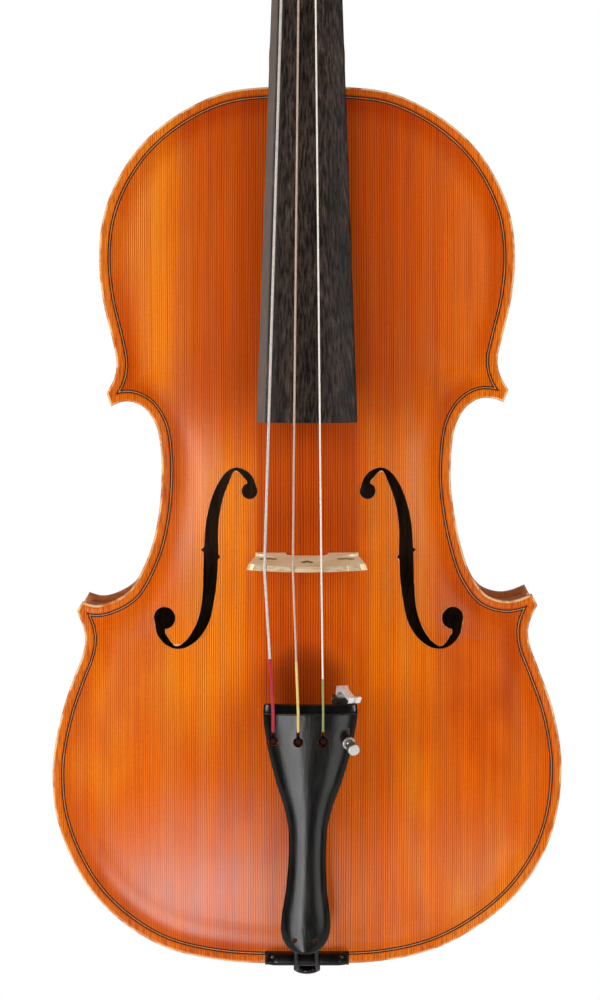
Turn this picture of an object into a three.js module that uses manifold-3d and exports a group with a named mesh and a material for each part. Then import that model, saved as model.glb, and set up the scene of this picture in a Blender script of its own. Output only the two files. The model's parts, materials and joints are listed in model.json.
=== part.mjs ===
// A viola, in millimetres. +Z runs from the end button to the scroll, the front faces -Y and
// the treble side +X. The origin is the centre of the end button's outer face.
import * as THREE from 'three';
import { mergeVertices } from 'three/addons/utils/BufferGeometryUtils.js';
import Module from 'manifold-3d';

const wasm = await Module();
wasm.setup();

// Driving dimensions.
const bodyLength = 406;
const lowerBout = 235;
const ribHeight = 38;
const ribThickness = 1.2;
const overhang = 2.8;
const edgeThickness = 4.2;
const plateThickness = 3;
const topArch = 18;
const backArch = 17;
const buttonReach = 9.5;
const neckLength = 150;
const headLength = 112;
const overstand = 7.7;
const neckDrop = 18.4;
const boardLength = 304.3;
const boardWidthAtNut = 25;
const boardWidthAtEnd = 45.4;
const boardEdge = 5;
const boardRadius = 42;
const bridgeShare = 0.4606;
const crownHeight = 75.5;
const stringSpreadAtBridge = 37.8;
const stringSpreadAtNut = 17.2;
const clearance = 0.3;
const overrun = 2;

// Places that follow from them.
const bodyBottom = buttonReach;
const bodyTop = buttonReach + bodyLength;
const nutBottom = bodyTop + neckLength;
const bridgeTail = bodyBottom + bridgeShare * bodyLength;
const halfRib = ribHeight / 2;
const topEdge = -(halfRib + edgeThickness);
const stringNames = ['c', 'g', 'd', 'a'];

// Colours.
const spruce = [0xc4551c, 0.3, 0];
const maple = [0xa84a1c, 0.32, 0];
const paleWood = [0xd9b27c, 0.6, 0];
const ebony = [0x17130f, 0.35, 0];
const steel = [0xc9c9cb, 0.25, 1];

const viola = new THREE.Group();
const mix = THREE.MathUtils.lerp;
const origin = new THREE.Vector3();
const xAxis = new THREE.Vector3(1, 0, 0);
const yAxis = new THREE.Vector3(0, 1, 0);
const zAxis = new THREE.Vector3(0, 0, 1);

function addPiece(name, geometry, [color, roughness, metalness]) {
  geometry.computeVertexNormals();
  const material = new THREE.MeshStandardMaterial({ color, roughness, metalness });
  const mesh = new THREE.Mesh(geometry, material);
  mesh.name = name;
  viola.add(mesh);
  return mesh;
}

// Solids.
function mergedCopy(geometry) {
  const bare = geometry.clone();
  bare.deleteAttribute('normal');
  bare.deleteAttribute('uv');
  const merged = mergeVertices(bare, bodyLength * 1e-7);
  const index = merged.index.array;
  const kept = [];
  for (let i = 0; i < index.length; i += 3) {
    const [a, b, c] = [index[i], index[i + 1], index[i + 2]];
    if (a !== b && b !== c && c !== a) kept.push(a, b, c);
  }
  merged.setIndex(kept);
  return facingOut(merged);
}

function facingOut(geometry) {
  const p = geometry.attributes.position;
  const index = geometry.index.array;
  const corners = [new THREE.Vector3(), new THREE.Vector3(), new THREE.Vector3()];
  let volume = 0;
  for (let i = 0; i < index.length; i += 3) {
    corners.forEach((corner, k) => corner.fromBufferAttribute(p, index[i + k]));
    volume += corners[0].dot(corners[1].clone().cross(corners[2]));
  }
  if (volume < 0) {
    for (let i = 0; i < index.length; i += 3) {
      [index[i + 1], index[i + 2]] = [index[i + 2], index[i + 1]];
    }
  }
  return geometry;
}

function solid(geometry) {
  const merged = mergedCopy(geometry);
  return new wasm.Manifold(new wasm.Mesh({
    numProp: 3,
    vertProperties: new Float32Array(merged.attributes.position.array),
    triVerts: new Uint32Array(merged.index.array),
  }));
}

function geometryOf(manifold) {
  const mesh = manifold.getMesh();
  const geometry = new THREE.BufferGeometry();
  const points = new Float32Array(mesh.vertProperties);
  geometry.setAttribute('position', new THREE.BufferAttribute(points, 3));
  geometry.setIndex(new THREE.BufferAttribute(new Uint32Array(mesh.triVerts), 1));
  return geometry;
}

// The faces between rings of points that follow each other, all with the same count.
function ringFaces(ringCount, count, closed = false) {
  const index = [];
  for (let r = 0; r < ringCount - (closed ? 0 : 1); r++) {
    const next = (r + 1) % ringCount;
    for (let i = 0; i < count; i++) {
      const j = (i + 1) % count;
      index.push(r * count + i, r * count + j, next * count + j);
      index.push(r * count + i, next * count + j, next * count + i);
    }
  }
  return index;
}

// A closed skin through rings, whose first and last rings fold flat on themselves.
function shell(rings) {
  return mergedCopy(indexed(rings.flat(), ringFaces(rings.length, rings[0].length)));
}

// A closed band whose rings follow each other round in a loop, such as an inlay.
function band(rings) {
  return mergedCopy(indexed(rings.flat(), ringFaces(rings.length, rings[0].length, true)));
}

// A solid through rings, closed by flat ends.
function loft(rings) {
  const count = rings[0].length;
  const points = rings.flat();
  const index = ringFaces(rings.length, count);
  const last = (rings.length - 1) * count;
  for (const [start, flip] of [[0, true], [last, false]]) {
    for (const [a, b, c] of capTriangles(points.slice(start, start + count))) {
      index.push(start + a, start + (flip ? c : b), start + (flip ? b : c));
    }
  }
  return mergedCopy(indexed(points, index));
}

function indexed(points, index) {
  const geometry = new THREE.BufferGeometry().setFromPoints(points);
  geometry.setIndex(index);
  return geometry;
}

function capTriangles(ring) {
  const normal = new THREE.Vector3();
  ring.forEach((point, i) => normal.add(point.clone().cross(ring[(i + 1) % ring.length])));
  normal.normalize();
  const across = ring[1].clone().sub(ring[0]);
  across.addScaledVector(normal, -across.dot(normal)).normalize();
  const up = normal.clone().cross(across);
  const flat = ring.map((point) => new THREE.Vector2(point.dot(across), point.dot(up)));
  return THREE.ShapeUtils.triangulateShape(flat, []);
}

// A straight-line route whose rings fall on the listed points.
class Route extends THREE.Curve {
  constructor(points) {
    super();
    this.points = points;
  }

  getPoint(t) {
    const place = t * (this.points.length - 1);
    const i = Math.min(Math.floor(place), this.points.length - 2);
    return this.points[i].clone().lerp(this.points[i + 1], place - i);
  }

  getPointAt(u) {
    return this.getPoint(u);
  }

  getTangentAt(u) {
    const last = this.points.length - 1;
    const i = Math.round(u * last);
    const before = this.points[Math.max(i - 1, 0)];
    const here = this.points[i];
    const after = this.points[Math.min(i + 1, last)];
    const tangent = new THREE.Vector3();
    if (i > 0) tangent.add(here.clone().sub(before).normalize());
    if (i < last) tangent.add(after.clone().sub(here).normalize());
    return tangent.normalize();
  }
}

function tube(points, radius, sides) {
  const section = new THREE.Shape();
  for (let i = 0; i < sides; i++) {
    const angle = (2 * Math.PI * i) / sides;
    const [x, y] = [radius * Math.cos(angle), radius * Math.sin(angle)];
    if (i === 0) section.moveTo(x, y);
    else section.lineTo(x, y);
  }
  return new THREE.ExtrudeGeometry(section, {
    steps: points.length - 1,
    curveSegments: 1,
    extrudePath: new Route(points),
  });
}

function box([x0, y0, z0], [x1, y1, z1]) {
  const geometry = new THREE.BoxGeometry(x1 - x0, y1 - y0, z1 - z0);
  return geometry.translate((x0 + x1) / 2, (y0 + y1) / 2, (z0 + z1) / 2);
}

// A flat outline of [x, z] points, extruded along Y between two heights.
function slab(outline, y0, y1) {
  const rings = [y0, y1].map((y) => outline.map(([x, z]) => new THREE.Vector3(x, y, z)));
  return loft(rings);
}

// A profile of [radius, height] points turned about an axis through a point.
function turned(profile, segments, axis, place) {
  const lathe = new THREE.LatheGeometry(profile.map(([r, h]) => new THREE.Vector2(r, h)), segments);
  const turn = new THREE.Quaternion().setFromUnitVectors(yAxis, axis);
  return lathe.applyQuaternion(turn).translate(place.x, place.y, place.z);
}

// Looks a value up in rows of [key, value], straight between rows.
function along(rows, key) {
  const next = rows.findIndex((row) => row[0] >= key);
  if (next < 0) return rows[rows.length - 1][1];
  if (next === 0) return rows[0][1];
  const [[k0, v0], [k1, v1]] = [rows[next - 1], rows[next]];
  return mix(v0, v1, (key - k0) / (k1 - k0));
}

// Body outline. Each side has an upper, a centre and a lower curve between blunt corners, with
// points as shares of half the lower bout's width and of the body's length.
const outlineShares = {
  bass: {
    upper: [[0, 1], [0.31, 0.992], [0.469, 0.973], [0.6, 0.946], [0.686, 0.919], [0.761, 0.882],
      [0.802, 0.846], [0.816, 0.801], [0.8, 0.755], [0.763, 0.71], [0.747, 0.683], [0.756, 0.667],
      [0.787, 0.65]],
    centre: [[0.768, 0.635], [0.728, 0.64], [0.686, 0.64], [0.641, 0.634], [0.616, 0.626],
      [0.588, 0.61], [0.572, 0.578], [0.572, 0.546], [0.584, 0.51], [0.612, 0.474], [0.667, 0.438],
      [0.703, 0.424], [0.777, 0.412], [0.832, 0.409], [0.882, 0.413]],
    lower: [[0.904, 0.402], [0.886, 0.39], [0.871, 0.374], [0.878, 0.356], [0.914, 0.328],
      [0.957, 0.292], [0.992, 0.246], [1, 0.219], [0.988, 0.174], [0.937, 0.128], [0.847, 0.083],
      [0.722, 0.047], [0.557, 0.019], [0.33, 0.004], [0, 0]],
  },
  treble: {
    upper: [[0, 1], [0.31, 0.992], [0.469, 0.973], [0.6, 0.946], [0.686, 0.919], [0.761, 0.882],
      [0.802, 0.846], [0.816, 0.801], [0.8, 0.755], [0.763, 0.71], [0.747, 0.686], [0.76, 0.669],
      [0.791, 0.654]],
    centre: [[0.771, 0.64], [0.729, 0.644], [0.678, 0.644], [0.635, 0.637], [0.608, 0.628],
      [0.58, 0.61], [0.565, 0.574], [0.565, 0.546], [0.58, 0.51], [0.602, 0.48], [0.641, 0.446],
      [0.704, 0.421], [0.778, 0.414], [0.83, 0.416], [0.882, 0.422]],
    lower: [[0.905, 0.409], [0.885, 0.398], [0.869, 0.383], [0.874, 0.365], [0.91, 0.337],
      [0.965, 0.292], [0.996, 0.246], [1, 0.219], [0.984, 0.174], [0.933, 0.128], [0.831, 0.083],
      [0.69, 0.047], [0.514, 0.019], [0.3, 0.004], [0, 0]],
  },
};
const segmentPoints = { upper: 10, centre: 12, lower: 13 };
const boutNames = ['upper', 'centre', 'lower'];
const sides = { bass: -1, treble: 1 };

// One curve of the outline as evenly spaced [x, z] points.
function outlineCurve(side, bout, count = segmentPoints[bout]) {
  const points = outlineShares[side][bout].map(([x, z]) => new THREE.Vector3(
    (sides[side] * x * lowerBout) / 2,
    0,
    bodyBottom + z * bodyLength,
  ));
  const curve = new THREE.CatmullRomCurve3(points, false, 'centripetal');
  const spaced = curve.getSpacedPoints(count);
  spaced[count] = points[points.length - 1];
  return spaced.map((point) => [point.x, point.z]);
}

// Moves a curve inwards. Curves run from the top of the body to the bottom on both sides, and one
// that starts or ends on the centre line goes on as its mirror image there.
function offsetCurve(points, distance, sign) {
  return points.map(([x, z], i) => {
    const mirrored = (other) => (x === 0 ? [-other[0], other[1]] : [x, z]);
    const [x0, z0] = points[i - 1] ?? mirrored(points[i + 1]);
    const [x1, z1] = points[i + 1] ?? mirrored(points[i - 1]);
    const length = Math.hypot(x1 - x0, z1 - z0);
    const nx = (sign * (z1 - z0)) / length;
    const nz = (sign * (x0 - x1)) / length;
    return [x + distance * nx, z + distance * nz];
  });
}

function between([x0, z0], [x1, z1], share) {
  return [mix(x0, x1, share), mix(z0, z1, share)];
}

// Where two stretches cross, or null.
function crossing([ax, az], [bx, bz], [cx, cz], [dx, dz]) {
  const det = (bx - ax) * (dz - cz) - (bz - az) * (dx - cx);
  if (det === 0) return null;
  const s = ((cx - ax) * (dz - cz) - (cz - az) * (dx - cx)) / det;
  const t = ((cx - ax) * (bz - az) - (cz - az) * (bx - ax)) / det;
  return s < 0 || s > 1 || t < 0 || t > 1 ? null : between([ax, az], [bx, bz], s);
}

// Where two neighbouring inward curves meet at their corner, or null.
function mitre(first, second) {
  for (let i = first.length - 2; i >= 0; i--) {
    for (let j = 0; j + 1 < second.length; j++) {
      const point = crossing(first[i], first[i + 1], second[j], second[j + 1]);
      if (point) return { i, j, point };
    }
  }
  return null;
}

// The last point of a curve, and its step, that is no nearer than a distance to a corner's end.
function endCut(points, depthOf, distance) {
  let i = points.length - 1;
  while (i > 0 && depthOf(points[i]) < distance) i -= 1;
  if (i === points.length - 1) return { i, point: points[i] };
  const [near, far] = [depthOf(points[i + 1]), depthOf(points[i])];
  return { i, point: between(points[i + 1], points[i], (distance - near) / (far - near)) };
}

// The three curves of one side at a distance inside the edge. A corner has a blunt end, and the
// curves stop at its mitre or short of its end by the same distance, whichever is further in.
// Points past the stop gather on it, so that every distance has the same number of points.
function sideCurves(side, distance) {
  const sign = sides[side];
  const edges = boutNames.map((bout) => outlineCurve(side, bout));
  const curves = edges.map((edge) => offsetCurve(edge, distance, sign));
  for (let k = 0; k + 1 < curves.length; k++) {
    const from = edges[k][edges[k].length - 1];
    const to = edges[k + 1][0];
    const width = Math.hypot(to[0] - from[0], to[1] - from[1]);
    const depthOf = ([x, z]) => (
      sign * ((x - from[0]) * (to[1] - from[1]) - (z - from[1]) * (to[0] - from[0]))) / width;
    const meet = mitre(curves[k], curves[k + 1]);
    if (meet && depthOf(meet.point) >= distance) {
      curves[k] = curves[k].map((point, i) => (i > meet.i ? meet.point : point));
      curves[k + 1] = curves[k + 1].map((point, j) => (j <= meet.j ? meet.point : point));
    } else if (distance > 0) {
      const first = endCut(curves[k], depthOf, distance);
      const second = endCut([...curves[k + 1]].reverse(), depthOf, distance);
      const start = curves[k + 1].length - 1 - second.i;
      curves[k] = curves[k].map((point, i) => (i > first.i ? first.point : point));
      curves[k + 1] = curves[k + 1].map((point, j) => (j < start ? second.point : point));
    }
  }
  return curves;
}

// The closed ring round the body at a distance inside the edge: down the treble side and up the
// bass side, with the points on the centre line shared.
function bodyRing(distance) {
  const treble = sideCurves('treble', distance).flat();
  const bass = sideCurves('bass', distance).flat().reverse();
  return [...treble.slice(0, -1), ...bass.slice(0, -1)];
}

// Plates.
const edgeInset = 0.8;
const edgeRoundLow = 1;
const edgeRoundHigh = 3.2;
const crestInset = 1;
const grooveOuter = 3.9;
const grooveInner = 5.7;
const grooveDepth = 1.3;
const grooveRimHeight = 3.7;
const fluteInset = 9.5;
const fluteHeight = 3.2;
const shoulderInset = 18;
const shoulderHeight = 4.3;
const spineMargin = 58;
const spokeSteps = 3;
const archShares = [0.35, 0.7, 1];
const longArchShare = 0.32;

// The height of the arch above the gluing face, from the shoulder at 0 to the spine at 1.
function archHeight(arch, z, step) {
  const middle = bodyBottom + bodyLength / 2;
  const reach = bodyLength / 2 - spineMargin;
  const drop = longArchShare * ((z - middle) / reach) ** 2;
  const share = Math.sin((Math.PI / 2) * step) ** 1.25;
  return shoulderHeight + (arch * (1 - drop) - shoulderHeight) * share;
}

// Each point of the shoulder has its place on the spine, level with it on the whole, the same for
// both sides of the body and evened out over its neighbours, so that the spokes don't cross.
function spinePlaces(ring) {
  const count = ring.length;
  const level = ring.map(([, z], i) => (z + ring[(count - i) % count][1]) / 2);
  return level.map((_, i) => {
    let sum = 0;
    for (let k = -spokeSteps; k <= spokeSteps; k++) sum += level[(i + k + count) % count];
    const place = sum / (2 * spokeSteps + 1);
    return THREE.MathUtils.clamp(place, bodyBottom + spineMargin, bodyTop - spineMargin);
  });
}

// The rings of a plate: its inside from the spine to the edge, its outside from the edge back to
// the spine, and a flat outside far beyond it. The front is -1 for the top plate, +1 for the back.
function plateRings(front, arch) {
  const place = (x, height, z) => new THREE.Vector3(x, front * (halfRib + height), z);
  const ring = (distance, height) => bodyRing(distance).map(([x, z]) => place(x, height, z));
  const shoulder = bodyRing(shoulderInset);
  const spine = spinePlaces(shoulder);
  const archRing = (step, heightAt) => shoulder.map(([x, z], i) => (
    place(mix(x, 0, step), heightAt(spine[i], step), mix(z, spine[i], step))));
  const outer = (z, step) => archHeight(arch, z, step);
  const inner = (z, step) => outer(z, step) - plateThickness;
  const far = () => arch * 2;
  return {
    inside: [
      ...[...archShares].reverse().map((step) => archRing(step, inner)),
      ring(shoulderInset, shoulderHeight - plateThickness),
      ring(fluteInset, 0),
      ring(edgeInset, 0),
    ],
    outside: [
      ring(0, edgeRoundLow),
      ring(0, edgeRoundHigh),
      ring(crestInset, edgeThickness),
      ring(grooveOuter, grooveRimHeight),
      ring(grooveOuter, grooveRimHeight - grooveDepth),
      ring(grooveInner, grooveRimHeight - grooveDepth),
      ring(grooveInner, grooveRimHeight),
      ring(fluteInset, fluteHeight),
      ring(shoulderInset, shoulderHeight),
      ...archShares.map((step) => archRing(step, outer)),
    ],
    far: [
      ring(edgeInset, far()),
      ring(fluteInset, far()),
      ring(shoulderInset, far()),
      ...archShares.map((step) => archRing(step, far)),
    ],
  };
}

// Purfling, an inlaid strip in its groove.
function purfling(front) {
  const ring = (distance, height) => bodyRing(distance).map(([x, z]) => (
    new THREE.Vector3(x, front * (halfRib + height), z)));
  const bottom = grooveRimHeight - grooveDepth + clearance;
  return solid(band([
    ring(grooveOuter + clearance, bottom),
    ring(grooveOuter + clearance, grooveRimHeight),
    ring(grooveInner - clearance, grooveRimHeight),
    ring(grooveInner - clearance, bottom),
  ]));
}

// Fingerboard and neck heights: the board's underside falls back towards the nut.
function boardUnder(z) {
  const atBody = topEdge - overstand;
  return atBody + (neckDrop * (z - bodyTop)) / neckLength;
}

function boardHalfWidth(z) {
  const share = (nutBottom - z) / boardLength;
  return mix(boardWidthAtNut, boardWidthAtEnd, share) / 2;
}

function roundDrop(radius, x) {
  return radius - Math.sqrt(radius ** 2 - x ** 2);
}

function boardTop(z) {
  return boardUnder(z) - boardEdge - roundDrop(boardRadius, boardHalfWidth(z));
}

// The neck's root in the body: a mortise that tapers to the width of the back's button.
const mortiseDepth = 6;
const heelHalfFront = 17.4;
const heelHalfBack = 11;
const buttonHeight = 14;

function rootSolid(grow) {
  const front = topEdge - overstand - overrun;
  const back = halfRib + grow;
  const ring = (z) => [
    new THREE.Vector3(-heelHalfFront - grow, front, z),
    new THREE.Vector3(heelHalfFront + grow, front, z),
    new THREE.Vector3(heelHalfBack + grow, back, z),
    new THREE.Vector3(-heelHalfBack - grow, back, z),
  ];
  return solid(loft([ring(bodyTop - mortiseDepth - grow), ring(bodyTop + overrun)]));
}

const mortise = rootSolid(clearance);

// F-holes: the outline's points are shares of the hole's length, from the middle of its stem.
const soundHoleLength = 83.3;
const soundHoleLead = 1.6;
const soundHoleMiddle = bridgeTail + soundHoleLead;
const soundHoleAcross = { bass: -43.9, treble: 45.4 };
const soundHoleShares = [
  [-0.25, 0.396], [-0.231, 0.446], [-0.193, 0.484], [-0.134, 0.499], [-0.083, 0.473],
  [-0.033, 0.402], [0.006, 0.303], [0.031, 0.187], [0.04, 0.058], [0.058, 0.043], [0.042, 0.029],
  [0.05, -0.22], [0.066, -0.314], [0.099, -0.396], [0.143, -0.457], [0.195, -0.486],
  [0.254, -0.416], [0.259, -0.335], [0.316, -0.352], [0.297, -0.429], [0.253, -0.479],
  [0.198, -0.501], [0.132, -0.49], [0.066, -0.44], [0.011, -0.352], [-0.019, -0.22],
  [-0.034, -0.094], [-0.037, -0.008], [-0.052, 0.006], [-0.04, 0.02], [-0.04, 0.187],
  [-0.063, 0.319], [-0.099, 0.418], [-0.134, 0.483], [-0.194, 0.429], [-0.212, 0.371],
];
const soundHoleEyeShares = [[-0.212, 0.371, 0.044], [0.259, -0.335, 0.06]];
const holeSides = 14;

function soundHole(side) {
  const sign = sides[side];
  const place = ([u, v]) => [
    soundHoleAcross[side] + sign * u * soundHoleLength,
    soundHoleMiddle + v * soundHoleLength,
  ];
  const depth = topEdge - topArch - overrun;
  let cutter = solid(slab(soundHoleShares.map(place), depth, -halfRib + overrun));
  for (const [u, v, r] of soundHoleEyeShares) {
    const [x, z] = place([u, v]);
    const radius = r * soundHoleLength;
    const eye = new THREE.CylinderGeometry(radius, radius, topArch * 3, holeSides);
    cutter = cutter.add(solid(eye.translate(x, -halfRib - topArch / 2, z)));
  }
  return cutter;
}

// Saddle at the lower edge, which carries the tailgut.
const saddleLength = 38.7;
const saddleDepth = 6.2;
const saddleRise = 4.3;
const saddleShoulder = 1.4;

function saddleNotch() {
  const half = saddleLength / 2 + clearance;
  const corner = [-half, topEdge - overrun, bodyBottom - overrun];
  return solid(box(corner, [half, -halfRib + overrun, bodyBottom + saddleDepth + clearance]));
}

const topRings = plateRings(-1, topArch);
const backRings = plateRings(1, backArch);
const uncutTop = solid(shell([...topRings.inside, ...topRings.outside]));
const soundHoles = soundHole('bass').add(soundHole('treble'));
const topPlate = uncutTop.subtract(mortise).subtract(saddleNotch()).subtract(soundHoles);

// The back plate carries a button that covers the neck's heel.
const buttonSegments = 12;
const buttonOutline = [];
for (let i = 0; i <= buttonSegments; i++) {
  const angle = (Math.PI * i) / buttonSegments;
  const rise = buttonHeight * Math.sin(angle);
  buttonOutline.push([heelHalfBack * Math.cos(angle), bodyTop + rise]);
}
const buttonFoot = bodyTop - crestInset * 2;
buttonOutline.push([-heelHalfBack, buttonFoot], [heelHalfBack, buttonFoot]);
const button = solid(slab(buttonOutline, halfRib, halfRib + edgeThickness));
const backPlate = solid(shell([...backRings.inside, ...backRings.outside])).add(button);

addPiece('top_plate', geometryOf(topPlate), spruce);
addPiece('back_plate', geometryOf(backPlate), maple);

const farSide = bodyLength * 2;
const topPurfling = purfling(-1).subtract(mortise).subtract(saddleNotch());
for (const side of Object.keys(sides)) {
  const half = solid(box([0, -farSide, -farSide], [farSide, farSide, farSide]).translate(
    side === 'bass' ? -farSide - clearance / 2 : clearance / 2, 0, 0,
  ));
  addPiece(`top_purfling_${side}`, geometryOf(topPurfling.intersect(half)), ebony);
}
addPiece('back_purfling', geometryOf(purfling(1)), ebony);

// Pieces inside the body end a hair inside both plates, whatever the arch: these take away all
// that lies beyond the plates' inner faces.
const beyondTop = solid(shell([...topRings.inside, ...topRings.far])).translate([0, clearance, 0]);
const beyondBack = solid(shell([...backRings.inside, ...backRings.far])).translate([0, -clearance, 0]);

// The points of a curve, with those before one distance along it or past another gathered there.
function stretch(points, from, to) {
  const route = [];
  let length = 0;
  for (const [i, point] of points.entries()) {
    if (i > 0) length += Math.hypot(point[0] - points[i - 1][0], point[1] - points[i - 1][1]);
    route.push(length);
  }
  const end = length - to;
  const pointAt = (distance) => {
    const next = Math.max(route.findIndex((reached) => reached >= distance), 1);
    const share = (distance - route[next - 1]) / (route[next] - route[next - 1] || 1);
    return between(points[next - 1], points[next], share);
  };
  return route.map((distance) => pointAt(THREE.MathUtils.clamp(distance, from, end)));
}

function lengthOf(points) {
  return points.reduce((sum, [x, z], i) => (
    i === 0 ? 0 : sum + Math.hypot(x - points[i - 1][0], z - points[i - 1][1])), 0);
}

function distinct(points) {
  const apart = ([x, z], [u, w]) => Math.hypot(x - u, z - w) > clearance / 10;
  return points.filter((point, i) => i === 0 || apart(point, points[i - 1]));
}

// A wall between two curves, with the same count of points, extruded between two heights.
function wall(outer, inner, y0, y1) {
  const rings = outer.map(([x, z], i) => {
    const [u, w] = inner[i];
    return [
      new THREE.Vector3(x, y0, z), new THREE.Vector3(x, y1, z),
      new THREE.Vector3(u, y1, w), new THREE.Vector3(u, y0, w),
    ];
  });
  return loft(rings.filter((ring, i) => i === 0 || ring[0].distanceTo(rings[i - 1][0]) > 0
    || ring[2].distanceTo(rings[i - 1][2]) > 0));
}

// Ribs, mitred at the corners, blocks behind the corners and linings along each rib.
const ribInset = overhang + ribThickness;
const mitreGap = 0.4;
const liningThickness = 2;
const liningHeight = 8;
const cornerBlockReach = 24;
const cornerBlockShare = 0.45;
const endBlockHalf = 26;
const endBlockDepth = 17;
const buttonShank = 4;
const ribHalf = halfRib - clearance;
const blockHalf = halfRib + plateThickness / 2;

const shankHole = solid(new THREE.CylinderGeometry(
  buttonShank + clearance, buttonShank + clearance, endBlockDepth * 4, holeSides,
).rotateX(Math.PI / 2));

function fitBetweenPlates(outline) {
  const block = solid(slab(distinct(outline), -blockHalf, blockHalf));
  return block.subtract(beyondTop).subtract(beyondBack);
}

for (const side of Object.keys(sides)) {
  const curvesAt = (distance) => Object.fromEntries(
    sideCurves(side, distance).map((points, k) => [boutNames[k], points]),
  );
  const outer = curvesAt(overhang);
  const inner = curvesAt(ribInset);
  const behind = curvesAt(ribInset + clearance);
  const lined = curvesAt(ribInset + clearance + liningThickness);
  for (const bout of boutNames) {
    const startGap = bout === 'upper' ? clearance / 2 : mitreGap;
    const endGap = bout === 'lower' ? clearance / 2 : mitreGap;
    const rib = solid(wall(
      stretch(outer[bout], startGap, endGap),
      stretch(inner[bout], startGap, endGap),
      -ribHalf,
      ribHalf,
    ));
    addPiece(`${bout}_rib_${side}`, geometryOf(rib.subtract(mortise).subtract(shankHole)), maple);

    const start = (bout === 'upper' ? endBlockHalf : cornerBlockReach) + clearance * 2;
    const end = (bout === 'lower' ? endBlockHalf : cornerBlockReach) + clearance * 2;
    const liningOuter = stretch(behind[bout], start, end);
    const liningInner = stretch(lined[bout], start, end);
    for (const [plateName, front] of [['top', -1], ['back', 1]]) {
      const face = front * ribHalf;
      const lining = wall(liningOuter, liningInner, face, face - front * liningHeight);
      addPiece(`${bout}_${plateName}_lining_${side}`, lining, paleWood);
    }
  }

  for (const [name, first, second] of [['upper', 'upper', 'centre'], ['lower', 'centre', 'lower']]) {
    const before = stretch(behind[first], lengthOf(behind[first]) - cornerBlockReach, 0);
    const after = stretch(behind[second], 0, lengthOf(behind[second]) - cornerBlockReach);
    const ends = [before[0], after.at(-1)];
    const [outerEnd, innerEnd] = first === 'upper' ? ends : ends.reverse();
    const chordMiddle = between(outerEnd, innerEnd, 0.5);
    const innerFace = between(chordMiddle, [innerEnd[0], outerEnd[1]], cornerBlockShare);
    const block = fitBetweenPlates([...before, ...after, innerFace]);
    addPiece(`${name}_corner_block_${side}`, geometryOf(block), paleWood);
  }
}

// End blocks span the centre line behind the ribs.
function endBlock(bout, inward) {
  const arms = {};
  for (const side of Object.keys(sides)) {
    const points = sideCurves(side, ribInset + clearance)[boutNames.indexOf(bout)];
    const rest = lengthOf(points) - endBlockHalf;
    arms[side] = bout === 'upper' ? stretch(points, 0, rest) : stretch(points, rest, 0).reverse();
  }
  const edge = [...arms.bass.reverse(), ...arms.treble.slice(1)];
  const face = arms.treble[0][1] + inward * endBlockDepth;
  return fitBetweenPlates([...edge, [endBlockHalf, face], [-endBlockHalf, face]]);
}

addPiece('top_block', geometryOf(endBlock('upper', -1).subtract(mortise)), paleWood);
addPiece('bottom_block', geometryOf(endBlock('lower', 1).subtract(shankHole)), paleWood);

// Bass bar under the bass foot of the bridge, and sound post near the treble foot.
const barAcross = -17;
const barWidth = 5.5;
const barEndGap = 53;
const barDepth = 12;
const barEndDepth = 4;
const barSteps = 12;
const postAcross = 17;
const postRadius = 3.2;
const postSetback = 9;
const trebleShoulder = sideCurves('treble', shoulderInset).flat();
const shoulderRows = trebleShoulder.map(([x, z]) => [z, x]).reverse();

// Height of a plate's outside above its gluing face at a place well inside the body.
function surfaceHeight(arch, x, z) {
  const half = along(shoulderRows, z);
  const rows = [0, ...archShares].map((step) => [step, archHeight(arch, z, step)]);
  return along(rows, 1 - Math.abs(x) / half);
}

function bassBar() {
  const middle = bodyBottom + bodyLength / 2;
  const upper = [];
  const lower = [];
  for (let i = 0; i <= barSteps; i++) {
    const share = (2 * i) / barSteps - 1;
    const z = middle + share * (bodyLength / 2 - barEndGap);
    const y = -halfRib - surfaceHeight(topArch, barAcross, z);
    upper.push([y - overrun, z]);
    lower.push([y + plateThickness + mix(barDepth, barEndDepth, share ** 2), z]);
  }
  const outline = [...upper, ...lower.reverse()];
  const rings = [-1, 1].map((edge) => outline.map(([y, z]) => (
    new THREE.Vector3(barAcross + (edge * barWidth) / 2, y, z))));
  return solid(loft(rings)).subtract(beyondTop);
}

function soundPost() {
  const z = bridgeTail - postSetback;
  const length = ribHeight + topArch + backArch;
  const post = new THREE.CylinderGeometry(postRadius, postRadius, length, holeSides);
  const placed = solid(post.translate(postAcross, (backArch - topArch) / 2, z));
  return placed.subtract(beyondTop).subtract(beyondBack);
}

addPiece('bass_bar', geometryOf(bassBar()), paleWood);
addPiece('sound_post', geometryOf(soundPost()), paleWood);

// A profile of [y, z] points extruded along X, with a half width that may change along Z.
function prism(profile, halfWidthAt, middle = 0) {
  const rings = [-1, 1].map((edge) => profile.map(([y, z]) => (
    new THREE.Vector3(middle + edge * halfWidthAt(z), y, z))));
  return loft(rings);
}

// Saddle, a block let into the top plate's lower edge, with a rounded crest.
const saddleCrest = topEdge - saddleRise;

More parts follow.
